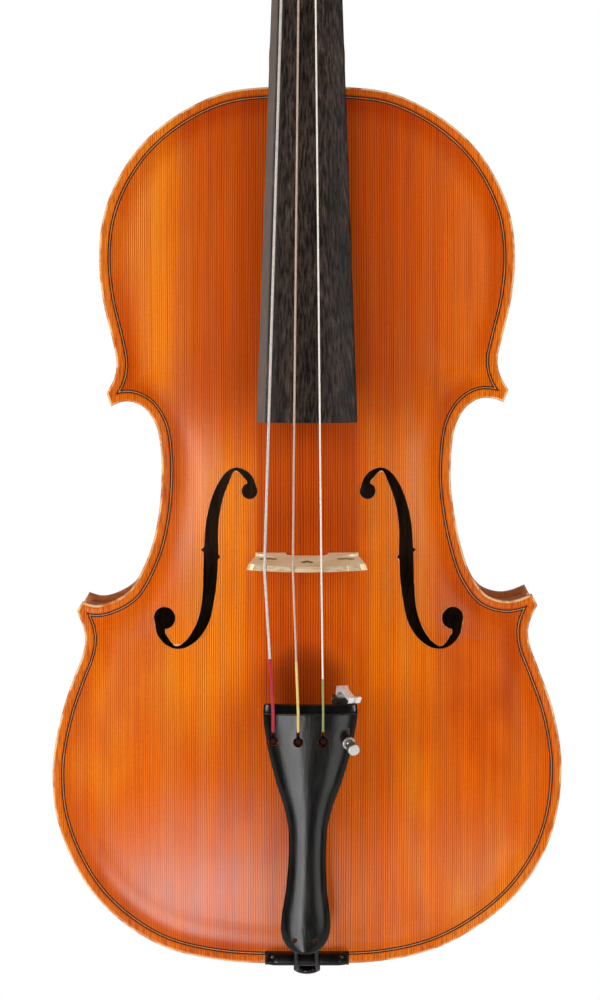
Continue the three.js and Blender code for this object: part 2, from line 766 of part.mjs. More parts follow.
function saddle() {
  const back = -halfRib - clearance;
  const low = bodyBottom;
  const high = bodyBottom + saddleDepth;
  const profile = [
    [back, low], [topEdge, low], [saddleCrest + saddleShoulder, low + saddleShoulder / 2],
    [saddleCrest, low + saddleShoulder * 1.5], [saddleCrest, high - saddleShoulder * 1.5],
    [saddleCrest + saddleShoulder, high - saddleShoulder / 2], [topEdge + clearance, high],
    [back, high],
  ];
  const body = solid(prism(profile, () => saddleLength / 2));
  const slope = saddleRise * 1.6;
  const ends = [-1, 1].map((edge) => {
    const tip = (edge * saddleLength) / 2;
    const past = tip + edge * overrun;
    const over = saddleCrest - overrun;
    const wedge = [[tip - edge * slope, over], [past, over], [past, topEdge], [tip, topEdge]];
    return solid(loft([low - overrun, high + overrun].map((z) => (
      wedge.map(([x, y]) => new THREE.Vector3(x, y, z))))));
  });
  return body.subtract(ends[0]).subtract(ends[1]);
}

addPiece('saddle', geometryOf(saddle()), ebony);

// End button: a head with a groove for the tailgut, a collar and a shank through rib and block.
const headRadius = 6.1;
const headThickness = 3.4;
const headRound = 0.8;
const grooveRadius = 4.2;
const grooveWidth = 2.8;
const shankNarrowing = 0.6;
const buttonSides = 16;
const gutRadius = 0.95;

const grooveEnd = headThickness + grooveWidth;
const collarTop = bodyBottom + overhang - clearance;
const shankTop = bodyBottom + ribInset + endBlockDepth;
addPiece('end_button', turned([
  [0, 0], [headRadius - headRound, 0], [headRadius, headRound],
  [headRadius, headThickness - headRound], [headRadius - headRound, headThickness],
  [grooveRadius, headThickness + headRound / 2],
  [grooveRadius, grooveEnd], [headRadius - headRound, grooveEnd + headRound],
  [headRadius - headRound, collarTop], [buttonShank, collarTop],
  [buttonShank - shankNarrowing, shankTop], [0, shankTop],
], buttonSides, zAxis, origin), ebony);

// Fingerboard: round on top, with a flat beside the bass edge that widens towards its end, and
// hollow underneath where it stands clear of the neck.
const boardEnd = nutBottom - boardLength;
const boardFlat = 6.5;
const boardFlatLength = 240;
const boardFlatDrop = 1.1;
const boardHollow = 3.4;
const boardArcSteps = 8;

function fingerboardRing(z, hollow) {
  const half = boardHalfWidth(z);
  const share = Math.max(0, 1 - (z - boardEnd) / boardFlatLength);
  const under = boardUnder(z);
  const crown = boardTop(z);
  const ring = [];
  for (let i = 0; i <= boardArcSteps; i++) {
    const x = mix(half, boardFlat * share - half, i / boardArcSteps);
    ring.push(new THREE.Vector3(x, crown + roundDrop(boardRadius, x), z));
  }
  ring.push(new THREE.Vector3(-half, under - boardEdge + boardFlatDrop * share, z));
  for (const across of [-1, -0.7, -0.35, 0.35, 0.7, 1]) {
    const lift = hollow * (1 - across ** 2);
    ring.push(new THREE.Vector3(across * half, under - lift, z));
  }
  return ring;
}

const hollowStart = bodyTop - mortiseDepth - overrun;
const hollowRamp = 12;
addPiece('fingerboard', loft([
  fingerboardRing(nutBottom - clearance, 0),
  fingerboardRing(bodyTop + neckLength / 2, 0),
  fingerboardRing(hollowStart, 0),
  fingerboardRing(hollowStart - hollowRamp, boardHollow),
  fingerboardRing((hollowStart + boardEnd) / 2, boardHollow),
  fingerboardRing(boardEnd, boardHollow),
]), ebony);

// Nut, a little higher than the fingerboard, with a notch for each string.
const nutWidth = 5.5;
const nutRise = 0.9;
const nutTop = boardTop(nutBottom) - nutRise;
const nutBack = boardUnder(nutBottom) + clearance;

function nutRing(z, lower) {
  const half = boardWidthAtNut / 2;
  const ring = [];
  for (let i = 0; i <= boardArcSteps; i++) {
    const x = mix(half, -half, i / boardArcSteps);
    ring.push(new THREE.Vector3(x, nutTop + roundDrop(boardRadius, x) + lower, z));
  }
  const back = nutBack - clearance;
  ring.push(new THREE.Vector3(-half, back, z), new THREE.Vector3(half, back, z));
  return ring;
}

addPiece('nut', loft([
  nutRing(nutBottom, 0),
  nutRing(nutBottom + nutWidth / 2, 0),
  nutRing(nutBottom + nutWidth, nutRise * 2),
]), ebony);

// Neck: its root, heel and handle, then the pegbox and the scroll.
const handleDepth = 20;
const handleHalf = 12.2;
const handleSwell = 1.6;
const heelRise = 2;
const sectionSteps = 12;

function neckRing([z, halfFront, halfBack, back, roundness]) {
  const front = boardUnder(z) + clearance;
  const ring = [];
  for (let i = 0; i <= sectionSteps; i++) {
    const angle = (Math.PI * i) / sectionSteps;
    const [c, s] = [Math.cos(angle), Math.sin(angle)];
    const depth = Math.abs(s) < 1e-9 ? 0 : s ** roundness;
    const across = Math.sign(c) * (Math.abs(c) < 1e-9 ? 0 : Math.abs(c) ** roundness);
    const half = mix(halfFront, halfBack, depth);
    ring.push(new THREE.Vector3(half * across, mix(front, back, depth), z));
  }
  return ring;
}

// Rows of place along the neck, half width at the front and at the back, depth of the back and
// roundness, from a box near 0 to an ellipse at 1.
const heelHeight = buttonHeight + heelRise;
const heelBack = halfRib - clearance;
const lowHandle = boardTop(bodyTop + heelHeight * 3) + handleDepth + handleSwell;
const highHandle = boardTop(nutBottom) + handleDepth;
const heelRowShares = [
  [0.1, 1, 1, 0, 0.12], [0.5, 1, 0.78, 0, 0.2], [0.8, 1, 0.5, 0.1, 0.35],
  [1.1, 0.98, 0.5, 0.45, 0.5], [1.5, 0.96, 0.7, 1, 0.65], [2.1, 0.94, 1, 1.6, 0.8],
];
const neckRows = [
  [bodyTop - mortiseDepth, heelHalfFront, heelHalfBack, heelBack, 0.12],
  ...heelRowShares.map(([rise, front, back, depth, roundness]) => [
    bodyTop + heelHeight * rise, heelHalfFront * front, heelHalfBack * back,
    heelBack - heelHeight * depth, roundness,
  ]),
  [bodyTop + heelHeight * 3, heelHalfFront * 0.9, handleHalf * 1.2, lowHandle, 0.9],
  [nutBottom - heelHeight, handleHalf * 1.04, handleHalf, highHandle, 1],
  [nutBottom, handleHalf, handleHalf, highHandle + handleSwell, 0.9],
  [nutBottom + nutWidth, handleHalf, handleHalf, highHandle + nutWidth, 0.8],
];

// The head's side view, as shares of its length along the neck and of its depth.
const headDepth = 34;
const pegboxFrontShares = [[0.052, 0.05], [0.1, -0.07], [0.18, 0.0], [0.36, 0.175], [0.54, 0.35],
  [0.66, 0.47]];
const pegboxBackShares = [[0.82, 1.0], [0.7, 1.01], [0.5, 0.965], [0.3, 0.91], [0.16, 0.84],
  [0.09, 0.74], [0.03, 0.58]];
const pegboxHalfAtNut = 14.2;
const pegboxHalfAtTop = 9.4;
const pegboxWall = 5.2;
const pegboxFloor = 5.5;
const cavityStartShare = 0.065;
const cavityEndShare = 0.62;

const headFront = nutBack;
const headPlace = ([u, v]) => [headFront + v * headDepth, nutBottom + u * headLength];

function pegboxHalf(z) {
  return mix(pegboxHalfAtNut, pegboxHalfAtTop, (z - nutBottom) / (headLength * cavityEndShare));
}

function pegboxFrontAt(u) {
  return headPlace([u, along(pegboxFrontShares, u)])[0];
}

function pegboxBackAt(u) {
  return headPlace([u, along([...pegboxBackShares].reverse(), u)])[0];
}

function cavity() {
  const steps = [cavityStartShare, 0.2, 0.35, 0.5, cavityEndShare];
  const floor = steps.map((u) => [pegboxBackAt(u) - pegboxFloor, nutBottom + u * headLength]);
  const open = headPlace([0, -1])[0];
  const profile = [[open, floor[0][1]], ...floor, [open, floor.at(-1)[1]]];
  return solid(prism(profile, (z) => pegboxHalf(z) - pegboxWall));
}

// The scroll turns round its eye, with its radius and half width given at each quarter turn as
// shares of the largest, from the back of the head over the top.
const scrollRadius = 24.5;
const scrollHalf = 23;
const scrollEyeRadius = 4.6;
const scrollCoreRadius = 2;
const scrollRadiusShares = [0.9, 1, 0.86, 0.7, 0.58, 0.48, 0.4, 0.34, 0.29, 0.25, 0.22];
const scrollWidthShares = [0.4, 0.31, 0.33, 0.42, 0.5, 0.58, 0.66, 0.74, 0.82, 0.89, 0.95];
const scrollStepsPerQuarter = 4;
const scrollMiddle = {
  y: headFront + headDepth - scrollRadius * scrollRadiusShares[0],
  z: nutBottom + headLength - scrollRadius,
};

function quarterShare(shares, turn) {
  return along(shares.map((share, i) => [i, share]), turn);
}

function scrollSector(quarter) {
  const rings = [];
  for (let i = 0; i <= scrollStepsPerQuarter; i++) {
    const turn = quarter + i / scrollStepsPerQuarter;
    const radius = scrollRadius * quarterShare(scrollRadiusShares, turn);
    const half = scrollHalf * quarterShare(scrollWidthShares, turn);
    const angle = (Math.PI / 2) * turn;
    const spot = (r, x) => new THREE.Vector3(
      x,
      scrollMiddle.y + r * Math.cos(angle),
      scrollMiddle.z + r * Math.sin(angle),
    );
    rings.push([spot(scrollCoreRadius, -half), spot(radius, -half), spot(radius, half),
      spot(scrollCoreRadius, half)]);
  }
  return solid(loft(rings));
}

function scroll() {
  const eye = new THREE.CylinderGeometry(scrollEyeRadius, scrollEyeRadius, scrollHalf * 2, holeSides);
  let head = solid(eye.rotateZ(Math.PI / 2).translate(0, scrollMiddle.y, scrollMiddle.z));
  for (let quarter = 0; quarter + 1 < scrollRadiusShares.length; quarter++) {
    head = head.add(scrollSector(quarter));
  }
  return head;
}

// Pegs cross the pegbox, thicker at the head's side: C and G from the bass side, A and D from the
// treble side.
const pegRadius = 4.3;
const pegTaperShare = 1 / 30;
const pegOut = 12;
const pegTail = 1.2;
const pegDepthShare = 0.42;
const pegSides = 12;
const pegs = {
  c: { side: -1, share: 0.175 },
  a: { side: 1, share: 0.3 },
  g: { side: -1, share: 0.43 },
  d: { side: 1, share: 0.555 },
};

for (const peg of Object.values(pegs)) {
  const z = nutBottom + peg.share * headLength;
  const y = mix(pegboxFrontAt(peg.share), pegboxBackAt(peg.share), pegDepthShare);
  peg.place = new THREE.Vector3(0, y, z);
  peg.wall = pegboxHalf(z);
  peg.axis = xAxis.clone().multiplyScalar(peg.side);
}

// The radius of a peg's shank at a distance towards its head from the middle of the pegbox.
function pegRadiusAt(distance, grow = 0) {
  return pegRadius + grow + (distance - pegboxHalfAtNut) * pegTaperShare;
}

function pegHole(peg) {
  const reach = peg.wall + overrun;
  const profile = [[0, -reach], [pegRadiusAt(-reach, clearance), -reach],
    [pegRadiusAt(reach, clearance), reach], [0, reach]];
  return solid(turned(profile, pegSides, peg.axis, peg.place));
}

const pegboxProfile = [...pegboxFrontShares, ...pegboxBackShares].map(headPlace);
let neck = solid(loft(neckRows.map(neckRing))).add(solid(prism(pegboxProfile, pegboxHalf)));
neck = neck.add(scroll()).subtract(cavity());
for (const peg of Object.values(pegs)) neck = neck.subtract(pegHole(peg));
addPiece('neck', geometryOf(neck), maple);

// A peg's shank, collar and thumb piece.
const collarRadius = 6.4;
const collarWidth = 3.2;
const collarRound = 0.9;
const thumbHalfLength = 9.5;
const thumbHalfWidth = 12.5;
const thumbHalfDepth = 4.6;
const thumbOverlap = 1.6;

for (const name of stringNames) {
  const peg = pegs[name];
  const near = peg.wall + pegOut;
  const far = -(peg.wall + pegTail);
  const shank = solid(turned([
    [0, far], [pegRadiusAt(far), far], [pegRadiusAt(near), near],
    [collarRadius - collarRound, near], [collarRadius, near + collarRound],
    [collarRadius, near + collarWidth - collarRound], [collarRadius - collarRound, near + collarWidth],
    [0, near + collarWidth],
  ], pegSides, peg.axis, peg.place));
  const thumb = new THREE.SphereGeometry(1, pegSides, pegSides / 2);
  thumb.scale(thumbHalfLength, thumbHalfDepth, thumbHalfWidth);
  const out = peg.side * (near + collarWidth + thumbHalfLength - thumbOverlap);
  thumb.translate(out, peg.place.y, peg.place.z);
  addPiece(`peg_${name}`, geometryOf(shank.add(solid(thumb))), ebony);
}

// Bridge: a flat back towards the tailpiece and a front that leans, on two fitted feet.
const bridgeHeight = crownHeight - halfRib - topArch;
const crownHalf = 27;
const bridgeFootThickness = 4.6;
const bridgeCrownThickness = 1.6;
const footInside = 9.7;
const footOutside = 23.4;
const footHeight = 2.2;
// Half outline above the feet, as shares of the crown's half width and of the bridge's height.
const bridgeSideShares = [[0.66, 0.12], [0.7, 0.27], [0.56, 0.36], [0.6, 0.43], [0.78, 0.44],
  [0.86, 0.5], [0.97, 0.6], [1, 0.7]];
const bridgeArchShares = [[0.34, 0.1], [0.33, 0.17], [0.2, 0.25], [0, 0.285]];
const bridgeHeartShares = [[0, 0.42], [0.09, 0.5], [0.13, 0.58], [0.09, 0.64], [0, 0.61]];
const bridgeCrownSteps = 8;
const crownY = -crownHeight;

function bridgeSole(x) {
  const height = surfaceHeight(topArch, x, bridgeTail) - topArch;
  return height - plateThickness / 2;
}

function bridgeGeometry() {
  const at = ([x, h]) => [x * crownHalf, h * bridgeHeight];
  const half = [
    [footInside, bridgeSole(footInside)], [footOutside, bridgeSole(footOutside)],
    [footOutside, bridgeSole(footOutside) + plateThickness / 2 + footHeight],
    ...bridgeSideShares.map(at),
  ];
  const crown = [];
  for (let i = 0; i <= bridgeCrownSteps / 2; i++) {
    const x = mix(crownHalf, 0, i / (bridgeCrownSteps / 2));
    crown.push([x, bridgeHeight - roundDrop(boardRadius, x)]);
  }
  const arch = bridgeArchShares.map(at).reverse();
  const right = [...arch, ...half, ...crown];
  const left = right.slice(1, -1).map(([x, h]) => [-x, h]).reverse();
  const shape = new THREE.Shape([...right, ...left].map(([x, h]) => new THREE.Vector2(x, h)));
  const heartLeft = bridgeHeartShares.slice(1, -1).map(([x, h]) => [-x, h]).reverse();
  const heart = [...bridgeHeartShares, ...heartLeft].map(at);
  shape.holes.push(new THREE.Path(heart.map(([x, h]) => new THREE.Vector2(x, h))));
  const geometry = new THREE.ExtrudeGeometry(shape, { depth: 1, bevelEnabled: false });
  const p = geometry.attributes.position;
  for (let i = 0; i < p.count; i++) {
    const [x, h, t] = [p.getX(i), p.getY(i), p.getZ(i)];
    const thickness = mix(bridgeFootThickness, bridgeCrownThickness, Math.max(h / bridgeHeight, 0));
    p.setXYZ(i, x, -(halfRib + topArch + h), bridgeTail + t * thickness);
  }
  return geometry;
}

const outsideTop = uncutTop.translate([0, -clearance, 0]);
addPiece('bridge', geometryOf(solid(bridgeGeometry()).subtract(outsideTop)), paleWood);

// Tailpiece: wide at the strings, drawn in at the waist and round at the tailgut. It hangs a
// little askew, and rises from its lower end to the strings.
const tailGap = 61.3;
const tailFoot = 8.3;
const tailTopDrop = 12.3;
const tailBottomRise = 11;
const tailTopShift = 1.6;
const tailBottomShift = -0.9;
const tailHalf = 21.2;
const tailRise = 5;
const tailEdge = 2.6;
const tailHollow = 2.6;
const tailRoundShare = 0.96;
const tailArcSteps = 8;
// Rows of place along the tailpiece from its top end, and half width, both as shares.
const tailWidthShares = [[0, 0.98], [0.03, 1], [0.13, 0.935], [0.3, 0.715], [0.42, 0.5],
  [0.51, 0.41], [0.6, 0.4], [0.74, 0.44], [0.86, 0.52], [0.92, 0.53], [0.975, 0.36], [1, 0.2]];

const tailTop = bridgeTail - tailGap;
const tailBottom = bodyBottom + tailFoot;
const tailTopY = crownY + tailTopDrop;
const tailBottomY = saddleCrest - tailBottomRise;

const tailAt = (share) => ({
  x: mix(tailTopShift, tailBottomShift, share),
  y: mix(tailTopY, tailBottomY, share),
  z: mix(tailTop, tailBottom, share),
  half: tailHalf * along(tailWidthShares, share),
});

// Depth of the tailpiece's upper face below its middle, at a share of the half width.
function tailDrop(place, half) {
  const level = Math.sqrt(1 - tailRoundShare * Math.min(Math.abs(place), 1) ** 2);
  return tailRise * Math.sqrt(half / tailHalf) * (1 - level);
}

function tailSurface(x, z) {
  const { x: middle, y, half } = tailAt((tailTop - z) / (tailTop - tailBottom));
  return y + tailDrop((x - middle) / half, half);
}

function tailRing([share]) {
  const { x: middle, y, z, half } = tailAt(share);
  const ring = [];
  for (let i = 0; i <= tailArcSteps; i++) {
    const place = Math.cos((Math.PI * i) / tailArcSteps);
    ring.push(new THREE.Vector3(middle + place * half, y + tailDrop(place, half), z));
  }
  const under = y + tailDrop(1, half) + tailEdge;
  for (const place of [-1, -0.6, 0, 0.6, 1]) {
    const lift = (tailHollow * half * (1 - place ** 2)) / tailHalf;
    ring.push(new THREE.Vector3(middle + place * half, under - lift, z));
  }
  return ring;
}

// Key holes, with a slot above each towards the strings.
const ridgeShare = 0.035;
const keyHoleRadius = 2.3;
const keySlotWidth = 1.6;
const keySlotLength = 6.6;
const keyHoleDrop = 13.2;
const stringGapAtTail = 11.2;
const keyHoleZ = tailTop - ridgeShare * (tailTop - tailBottom) - keyHoleDrop;
const stringRadii = { c: 0.65, g: 0.5, d: 0.42 };
const fittedStrings = Object.keys(stringRadii);

function stringAcross(name, gap, middle = 0) {
  return middle + (stringNames.indexOf(name) - (stringNames.length - 1) / 2) * gap;
}

let tailpiece = solid(loft(tailWidthShares.map(tailRing)));
for (const name of stringNames) {
  const x = stringAcross(name, stringGapAtTail, tailTopShift);
  const slot = box(
    [x - keySlotWidth / 2, tailTopY - headDepth / 2, keyHoleZ],
    [x + keySlotWidth / 2, tailTopY + headDepth / 2, keyHoleZ + keySlotLength],
  );
  tailpiece = tailpiece.subtract(solid(slot));
  if (fittedStrings.includes(name)) {
    const hole = new THREE.CylinderGeometry(keyHoleRadius, keyHoleRadius, headDepth, pegSides);
    tailpiece = tailpiece.subtract(solid(hole.translate(x, tailTopY, keyHoleZ)));
  }
}

// Two holes near the tailpiece's lower end take the tailgut.
const gutHalfSpread = 4.7;
const gutHoleRise = 6.5;
const gutHoleZ = tailBottom + gutHoleRise;
for (const edge of [-1, 1]) {
  const radius = gutRadius + clearance;
  const hole = new THREE.CylinderGeometry(radius, radius, headDepth, pegSides);
  const across = tailBottomShift + edge * gutHalfSpread;
  tailpiece = tailpiece.subtract(solid(hole.translate(across, tailBottomY, gutHoleZ)));
}

// The tailpiece's fret, a strip across it near the top that the strings lie on.
const fretHeight = 1;
const fretWidth = 1.4;

function tailFret() {
  const { x: middle, y, z, half } = tailAt(ridgeShare);
  const rings = [];
  for (let i = 0; i <= tailArcSteps; i++) {
    const place = Math.cos((Math.PI * i) / tailArcSteps) * 0.98;
    const low = y + tailDrop(place, half) - clearance;
    rings.push([[low, -1], [low, 1], [low - fretHeight, 1], [low - fretHeight, -1]].map(([h, edge]) => (
      new THREE.Vector3(middle + place * half, h, z + (edge * fretWidth) / 2))));
  }
  return solid(loft(rings)).subtract(tailpiece.translate([0, -clearance, 0]));
}

addPiece('tailpiece_fret', geometryOf(tailFret()), ebony);

// Tailgut: one loop from the tailpiece's holes over the saddle and round the end button's groove.
const gutSides = 6;
const gutSteps = 40;
const gutTurnSteps = 8;
const gutMiddle = tailBottomShift / 2;

function tailgut() {
  const half = [];
  const over = saddleCrest - gutRadius - clearance;
  const wrap = grooveRadius + gutRadius + clearance;
  const grooveZ = headThickness + grooveWidth / 2 + headRound / 4;
  const outsideBody = bodyBottom - gutRadius - clearance * 2;
  const holeX = tailBottomShift + gutHalfSpread;
  half.push([holeX, tailBottomY + tailRise + tailEdge + gutRadius, gutHoleZ]);
  half.push([holeX, tailBottomY + tailRise + tailEdge + gutRadius * 2.5, gutHoleZ - gutRadius * 2]);
  half.push([mix(holeX, wrap, 0.4), over, bodyBottom + saddleDepth]);
  half.push([mix(holeX, wrap, 0.6), over, bodyBottom + saddleShoulder * 1.4]);
  half.push([mix(holeX, wrap, 0.8), topEdge - gutRadius, outsideBody]);
  half.push([wrap, (topEdge - gutRadius) * 0.72, mix(outsideBody, grooveZ, 0.6)]);
  half.push([wrap, (topEdge - gutRadius) * 0.4, grooveZ]);
  const right = half.map(([x, y, z]) => new THREE.Vector3(x, y, z));
  const mirrored = (x) => (x === wrap ? -wrap : x - 2 * gutHalfSpread);
  const left = half.map(([x, y, z]) => new THREE.Vector3(mirrored(x), y, z));
  const turn = [];
  for (let i = 0; i <= gutTurnSteps; i++) {
    const angle = (Math.PI * i) / gutTurnSteps;
    turn.push(new THREE.Vector3(wrap * Math.cos(angle), wrap * Math.sin(angle), grooveZ));
  }
  const route = new THREE.CatmullRomCurve3([...right, ...turn, ...left.reverse()], false, 'centripetal');
  return tube(route.getSpacedPoints(gutSteps), gutRadius, gutSides);
}

addPiece('tailgut', tailgut(), ebony);

// Strings: each runs taut from its peg over the nut and the bridge to its key hole, and ends in
// its ball under the tailpiece. The fourth string is not fitted.
const stringSides = 8;
const ballRadius = 1.6;
const ballLength = 3;
const stringSteel = [0xb9b9bd, 0.3, 1];
const turnCount = 3.5;
const turnSteps = 24;
const turnSides = 6;
const turnGap = 0.5;

function leastGap(points, radius) {
  let least = Infinity;
  for (let i = 0; i < points.length; i++) {
    for (let j = i + turnSteps / 2; j < points.length; j++) {
      least = Math.min(least, points[i].distanceTo(points[j]) - 2 * radius);
    }
  }
  return least;
}

for (const name of fittedStrings) {
  const radius = stringRadii[name];
  const lift = radius + clearance;
  const peg = pegs[name];
  const atNut = stringAcross(name, stringSpreadAtNut / 3);
  const atBridge = stringAcross(name, stringSpreadAtBridge / 3);
  const atTail = stringAcross(name, stringGapAtTail, tailTopShift);

  const pitch = 2 * radius + turnGap;
  const shankRadius = pegRadiusAt(0);
  const turnRadius = shankRadius + lift;
  const inner = peg.side * (peg.wall - pegboxWall - radius - clearance * 2);
  const outer = inner - peg.side * turnCount * pitch;
  const end = outer - peg.side * pitch;
  const turns = [];
  for (let i = 0; i <= turnCount * turnSteps; i++) {
    const angle = (2 * Math.PI * i) / turnSteps;
    turns.push(new THREE.Vector3(
      mix(outer, inner, i / (turnCount * turnSteps)),
      peg.place.y - turnRadius * Math.cos(angle),
      peg.place.z + turnRadius * Math.sin(angle),
    ));
  }
  console.log(`string_${name}_turns least gap`, leastGap(turns, radius).toFixed(2), 'mm');
  addPiece(`string_${name}_turns`, tube(turns, radius, turnSides), stringSteel);

  const overNut = (x) => nutTop + roundDrop(boardRadius, x) - lift;
  const crown = crownY + roundDrop(boardRadius, atBridge) - lift;
  const ridgeZ = tailAt(ridgeShare).z;
  const ridgeY = tailSurface(atTail, ridgeZ) - fretHeight - clearance - lift;
  const slotTop = keyHoleZ + keySlotLength - radius - clearance;
  const under = tailSurface(atTail, keyHoleZ) + tailRise + tailEdge;
  const points = [
    [end, peg.place.y - turnRadius, peg.place.z],
    [mix(atNut, end, 0.1), overNut(atNut) + nutRise, nutBottom + nutWidth],
    [atNut, overNut(atNut), nutBottom + nutWidth / 2],
    [atNut, overNut(atNut), nutBottom],
    [atBridge, crown, bridgeTail + bridgeCrownThickness],
    [atBridge, crown, bridgeTail],
    [atTail, ridgeY, ridgeZ + fretWidth / 2],
    [atTail, ridgeY + clearance, ridgeZ - fretWidth / 2],
    [atTail, tailSurface(atTail, slotTop) - lift, slotTop],
    [atTail, tailSurface(atTail, keyHoleZ) + tailEdge, keyHoleZ + radius],
    [atTail, under, keyHoleZ],
  ].map(([x, y, z]) => new THREE.Vector3(x, y, z));
  const line = solid(tube(points, radius, stringSides));
  const ball = new THREE.CylinderGeometry(ballRadius, ballRadius, ballLength, stringSides);
  const seat = ball.rotateZ(Math.PI / 2).translate(atTail, under + ballRadius / 2, keyHoleZ);
  addPiece(`string_${name}`, geometryOf(line.add(solid(seat))), stringSteel);
}

// Fine tuner at the fourth string's key hole, square to the tailpiece's face there. Its own
// directions are across the tailpiece, along it towards the bridge, and out of its face.
const tunerScrewRadius = 1.2;
const tunerBore = 1.5;
const tunerStemRadius = 2.4;
const tunerNutRadius = 3.1;
const tunerSeatSpan = 4.2;
const tunerNutThickness = 2.2;
const tunerStand = 5.2;
const tunerKnobRadius = 2.8;
const tunerKnobThickness = 4;
const tunerKnobRound = 0.5;
const tunerPlate = 1.4;
const tunerPlateHalf = 3.9;
const tunerCheek = 0.9;
const tunerCheekHeight = 5.4;
const tunerDrop = 0.6;
const tunerArm = 15;
const tunerArmThickness = 1.6;
const tunerArmSink = 3;
const tunerTail = 3.5;
const tunerForkHalf = 4.6;
const tunerForkThickness = 1.5;
const tunerForkReach = 4.8;
const tunerForkLength = 3.4;
const tunerForkSlot = 1.6;
const tunerPinRadius = 0.8;
const tunerPinBore = 1.1;
const tunerHubRadius = 2;

const tunerX = stringAcross('a', stringGapAtTail, tailTopShift);
const tunerBase = new THREE.Vector3(tunerX, tailSurface(tunerX, keyHoleZ), keyHoleZ);
const tunerReach = 2 * tunerSeatSpan;
const tunerSlopes = [[tunerSeatSpan, 0], [0, tunerSeatSpan]].map(([dx, dz]) => (
  tailSurface(tunerX + dx, keyHoleZ + dz) - tailSurface(tunerX - dx, keyHoleZ - dz)) / tunerReach);
const tunerOut = new THREE.Vector3(tunerSlopes[0], -1, tunerSlopes[1]).normalize();
const tunerUp = zAxis.clone().addScaledVector(tunerOut, -zAxis.dot(tunerOut)).normalize();
const tunerAcross = tunerUp.clone().cross(tunerOut);
const tunerFrame = new THREE.Group();
tunerFrame.matrixAutoUpdate = false;
tunerFrame.matrix.makeBasis(tunerAcross, tunerUp, tunerOut).setPosition(tunerBase);
viola.add(tunerFrame);

function addTunerPiece(name, geometry) {
  tunerFrame.add(addPiece(name, geometry, steel));
}

const stemHoleRadius = tunerStemRadius + clearance;
const stemHole = turned([
  [0, -tailHalf], [stemHoleRadius, -tailHalf], [stemHoleRadius, tailHalf], [0, tailHalf],
], pegSides, tunerOut, tunerBase);
addPiece('tailpiece', geometryOf(tailpiece.subtract(solid(stemHole))), ebony);

const barTop = -(tailRise + tailEdge + tunerDrop + clearance);
const barBottom = barTop - tunerPlate;
const armTop = barBottom - tunerArmSink;
const pivotV = tunerArm;
const pivotW = armTop - tunerArmThickness / 2;
const shankTip = armTop + clearance;

// A bore or pin across the tuner, through its pivot.
function acrossPivot(radius, half) {
  const pin = new THREE.CylinderGeometry(radius, radius, half * 2, pegSides);
  return solid(pin.rotateZ(Math.PI / 2).translate(0, pivotV, pivotW));
}

addTunerPiece('tuner_nut', turned([
  [tunerBore + clearance, clearance * 2], [tunerNutRadius, clearance * 2],
  [tunerNutRadius, tunerNutThickness], [tunerBore + clearance, tunerNutThickness],
  [tunerBore + clearance, clearance * 2],
], pegSides, zAxis, origin));

function tunerBody() {
  const stem = solid(turned([
    [tunerBore, barBottom], [tunerStemRadius, barBottom], [tunerStemRadius, 0], [tunerBore, 0],
    [tunerBore, barBottom],
  ], pegSides, zAxis, origin));
  const cheekStart = pivotV - tunerHubRadius * 1.5;
  const cheekEnd = pivotV + tunerHubRadius;
  const half = tunerPlateHalf;
  let body = solid(box([-half, -half, barBottom], [half, cheekEnd, barTop]));
  for (const edge of [-1, 1]) {
    const [inside, outside] = [edge * (half - tunerCheek), edge * half];
    const corners = [Math.min(inside, outside), Math.max(inside, outside)];
    body = body.add(solid(box(
      [corners[0], cheekStart, barBottom - tunerCheekHeight],
      [corners[1], cheekEnd, barTop - tunerPlate / 2],
    )));
  }
  const bore = new THREE.CylinderGeometry(tunerBore, tunerBore, tunerPlate * 4, pegSides);
  body = body.subtract(solid(bore.rotateX(Math.PI / 2).translate(0, 0, barBottom)));
  return body.add(stem).subtract(acrossPivot(tunerPinBore, half + overrun));
}

addTunerPiece('tuner_frame', geometryOf(tunerBody()));
addTunerPiece('tuner_pivot', geometryOf(acrossPivot(tunerPinRadius, tunerPlateHalf + tunerCheek)));

function tunerLever() {
  const half = tunerPlateHalf - tunerCheek - clearance;
  const armBottom = armTop - tunerArmThickness;
  const forkFoot = pivotV + tunerHubRadius + clearance * 2;
  const arm = solid(box([-half, -tunerTail, armBottom], [half, forkFoot + tunerArmThickness, armTop]));
  const hub = acrossPivot(tunerHubRadius, half);
  const forkStart = pivotV + tunerForkReach;
  const forkSide = [
    [forkFoot, armTop], [forkFoot, armBottom],
    [forkStart + tunerForkThickness, armBottom], [forkStart + tunerForkThickness, tunerForkThickness],
    [forkStart + tunerForkLength, tunerForkThickness * 2],
    [forkStart + tunerForkLength, tunerForkThickness * 3],
    [forkStart, tunerForkThickness * 2], [forkStart, armTop],
  ];
  const fork = solid(loft([-tunerForkHalf, tunerForkHalf].map((u) => (
    forkSide.map(([v, w]) => new THREE.Vector3(u, v, w))))));
  const slot = solid(box(
    [-tunerForkSlot / 2, forkStart - overrun, -tunerForkThickness],
    [tunerForkSlot / 2, forkStart + tunerForkLength + overrun, tunerForkThickness * 4],
  ));
  return arm.add(hub).add(fork).subtract(slot).subtract(acrossPivot(tunerPinBore, half * 2));
}

addTunerPiece('tuner_lever', geometryOf(tunerLever()));
addTunerPiece('tuner_screw', turned([
  [0, shankTip], [tunerScrewRadius, shankTip], [tunerScrewRadius, tunerStand], [0, tunerStand],
], pegSides, zAxis, origin));
const knobStart = tunerStand + clearance;
const knobEnd = knobStart + tunerKnobThickness;
addTunerPiece('tuner_knob', turned([
  [0, knobStart], [tunerKnobRadius - tunerKnobRound, knobStart],
  [tunerKnobRadius, knobStart + tunerKnobRound], [tunerKnobRadius, knobEnd - tunerKnobRound],
  [tunerKnobRadius - tunerKnobRound, knobEnd], [0, knobEnd],
], buttonSides, zAxis, origin));

export default viola;
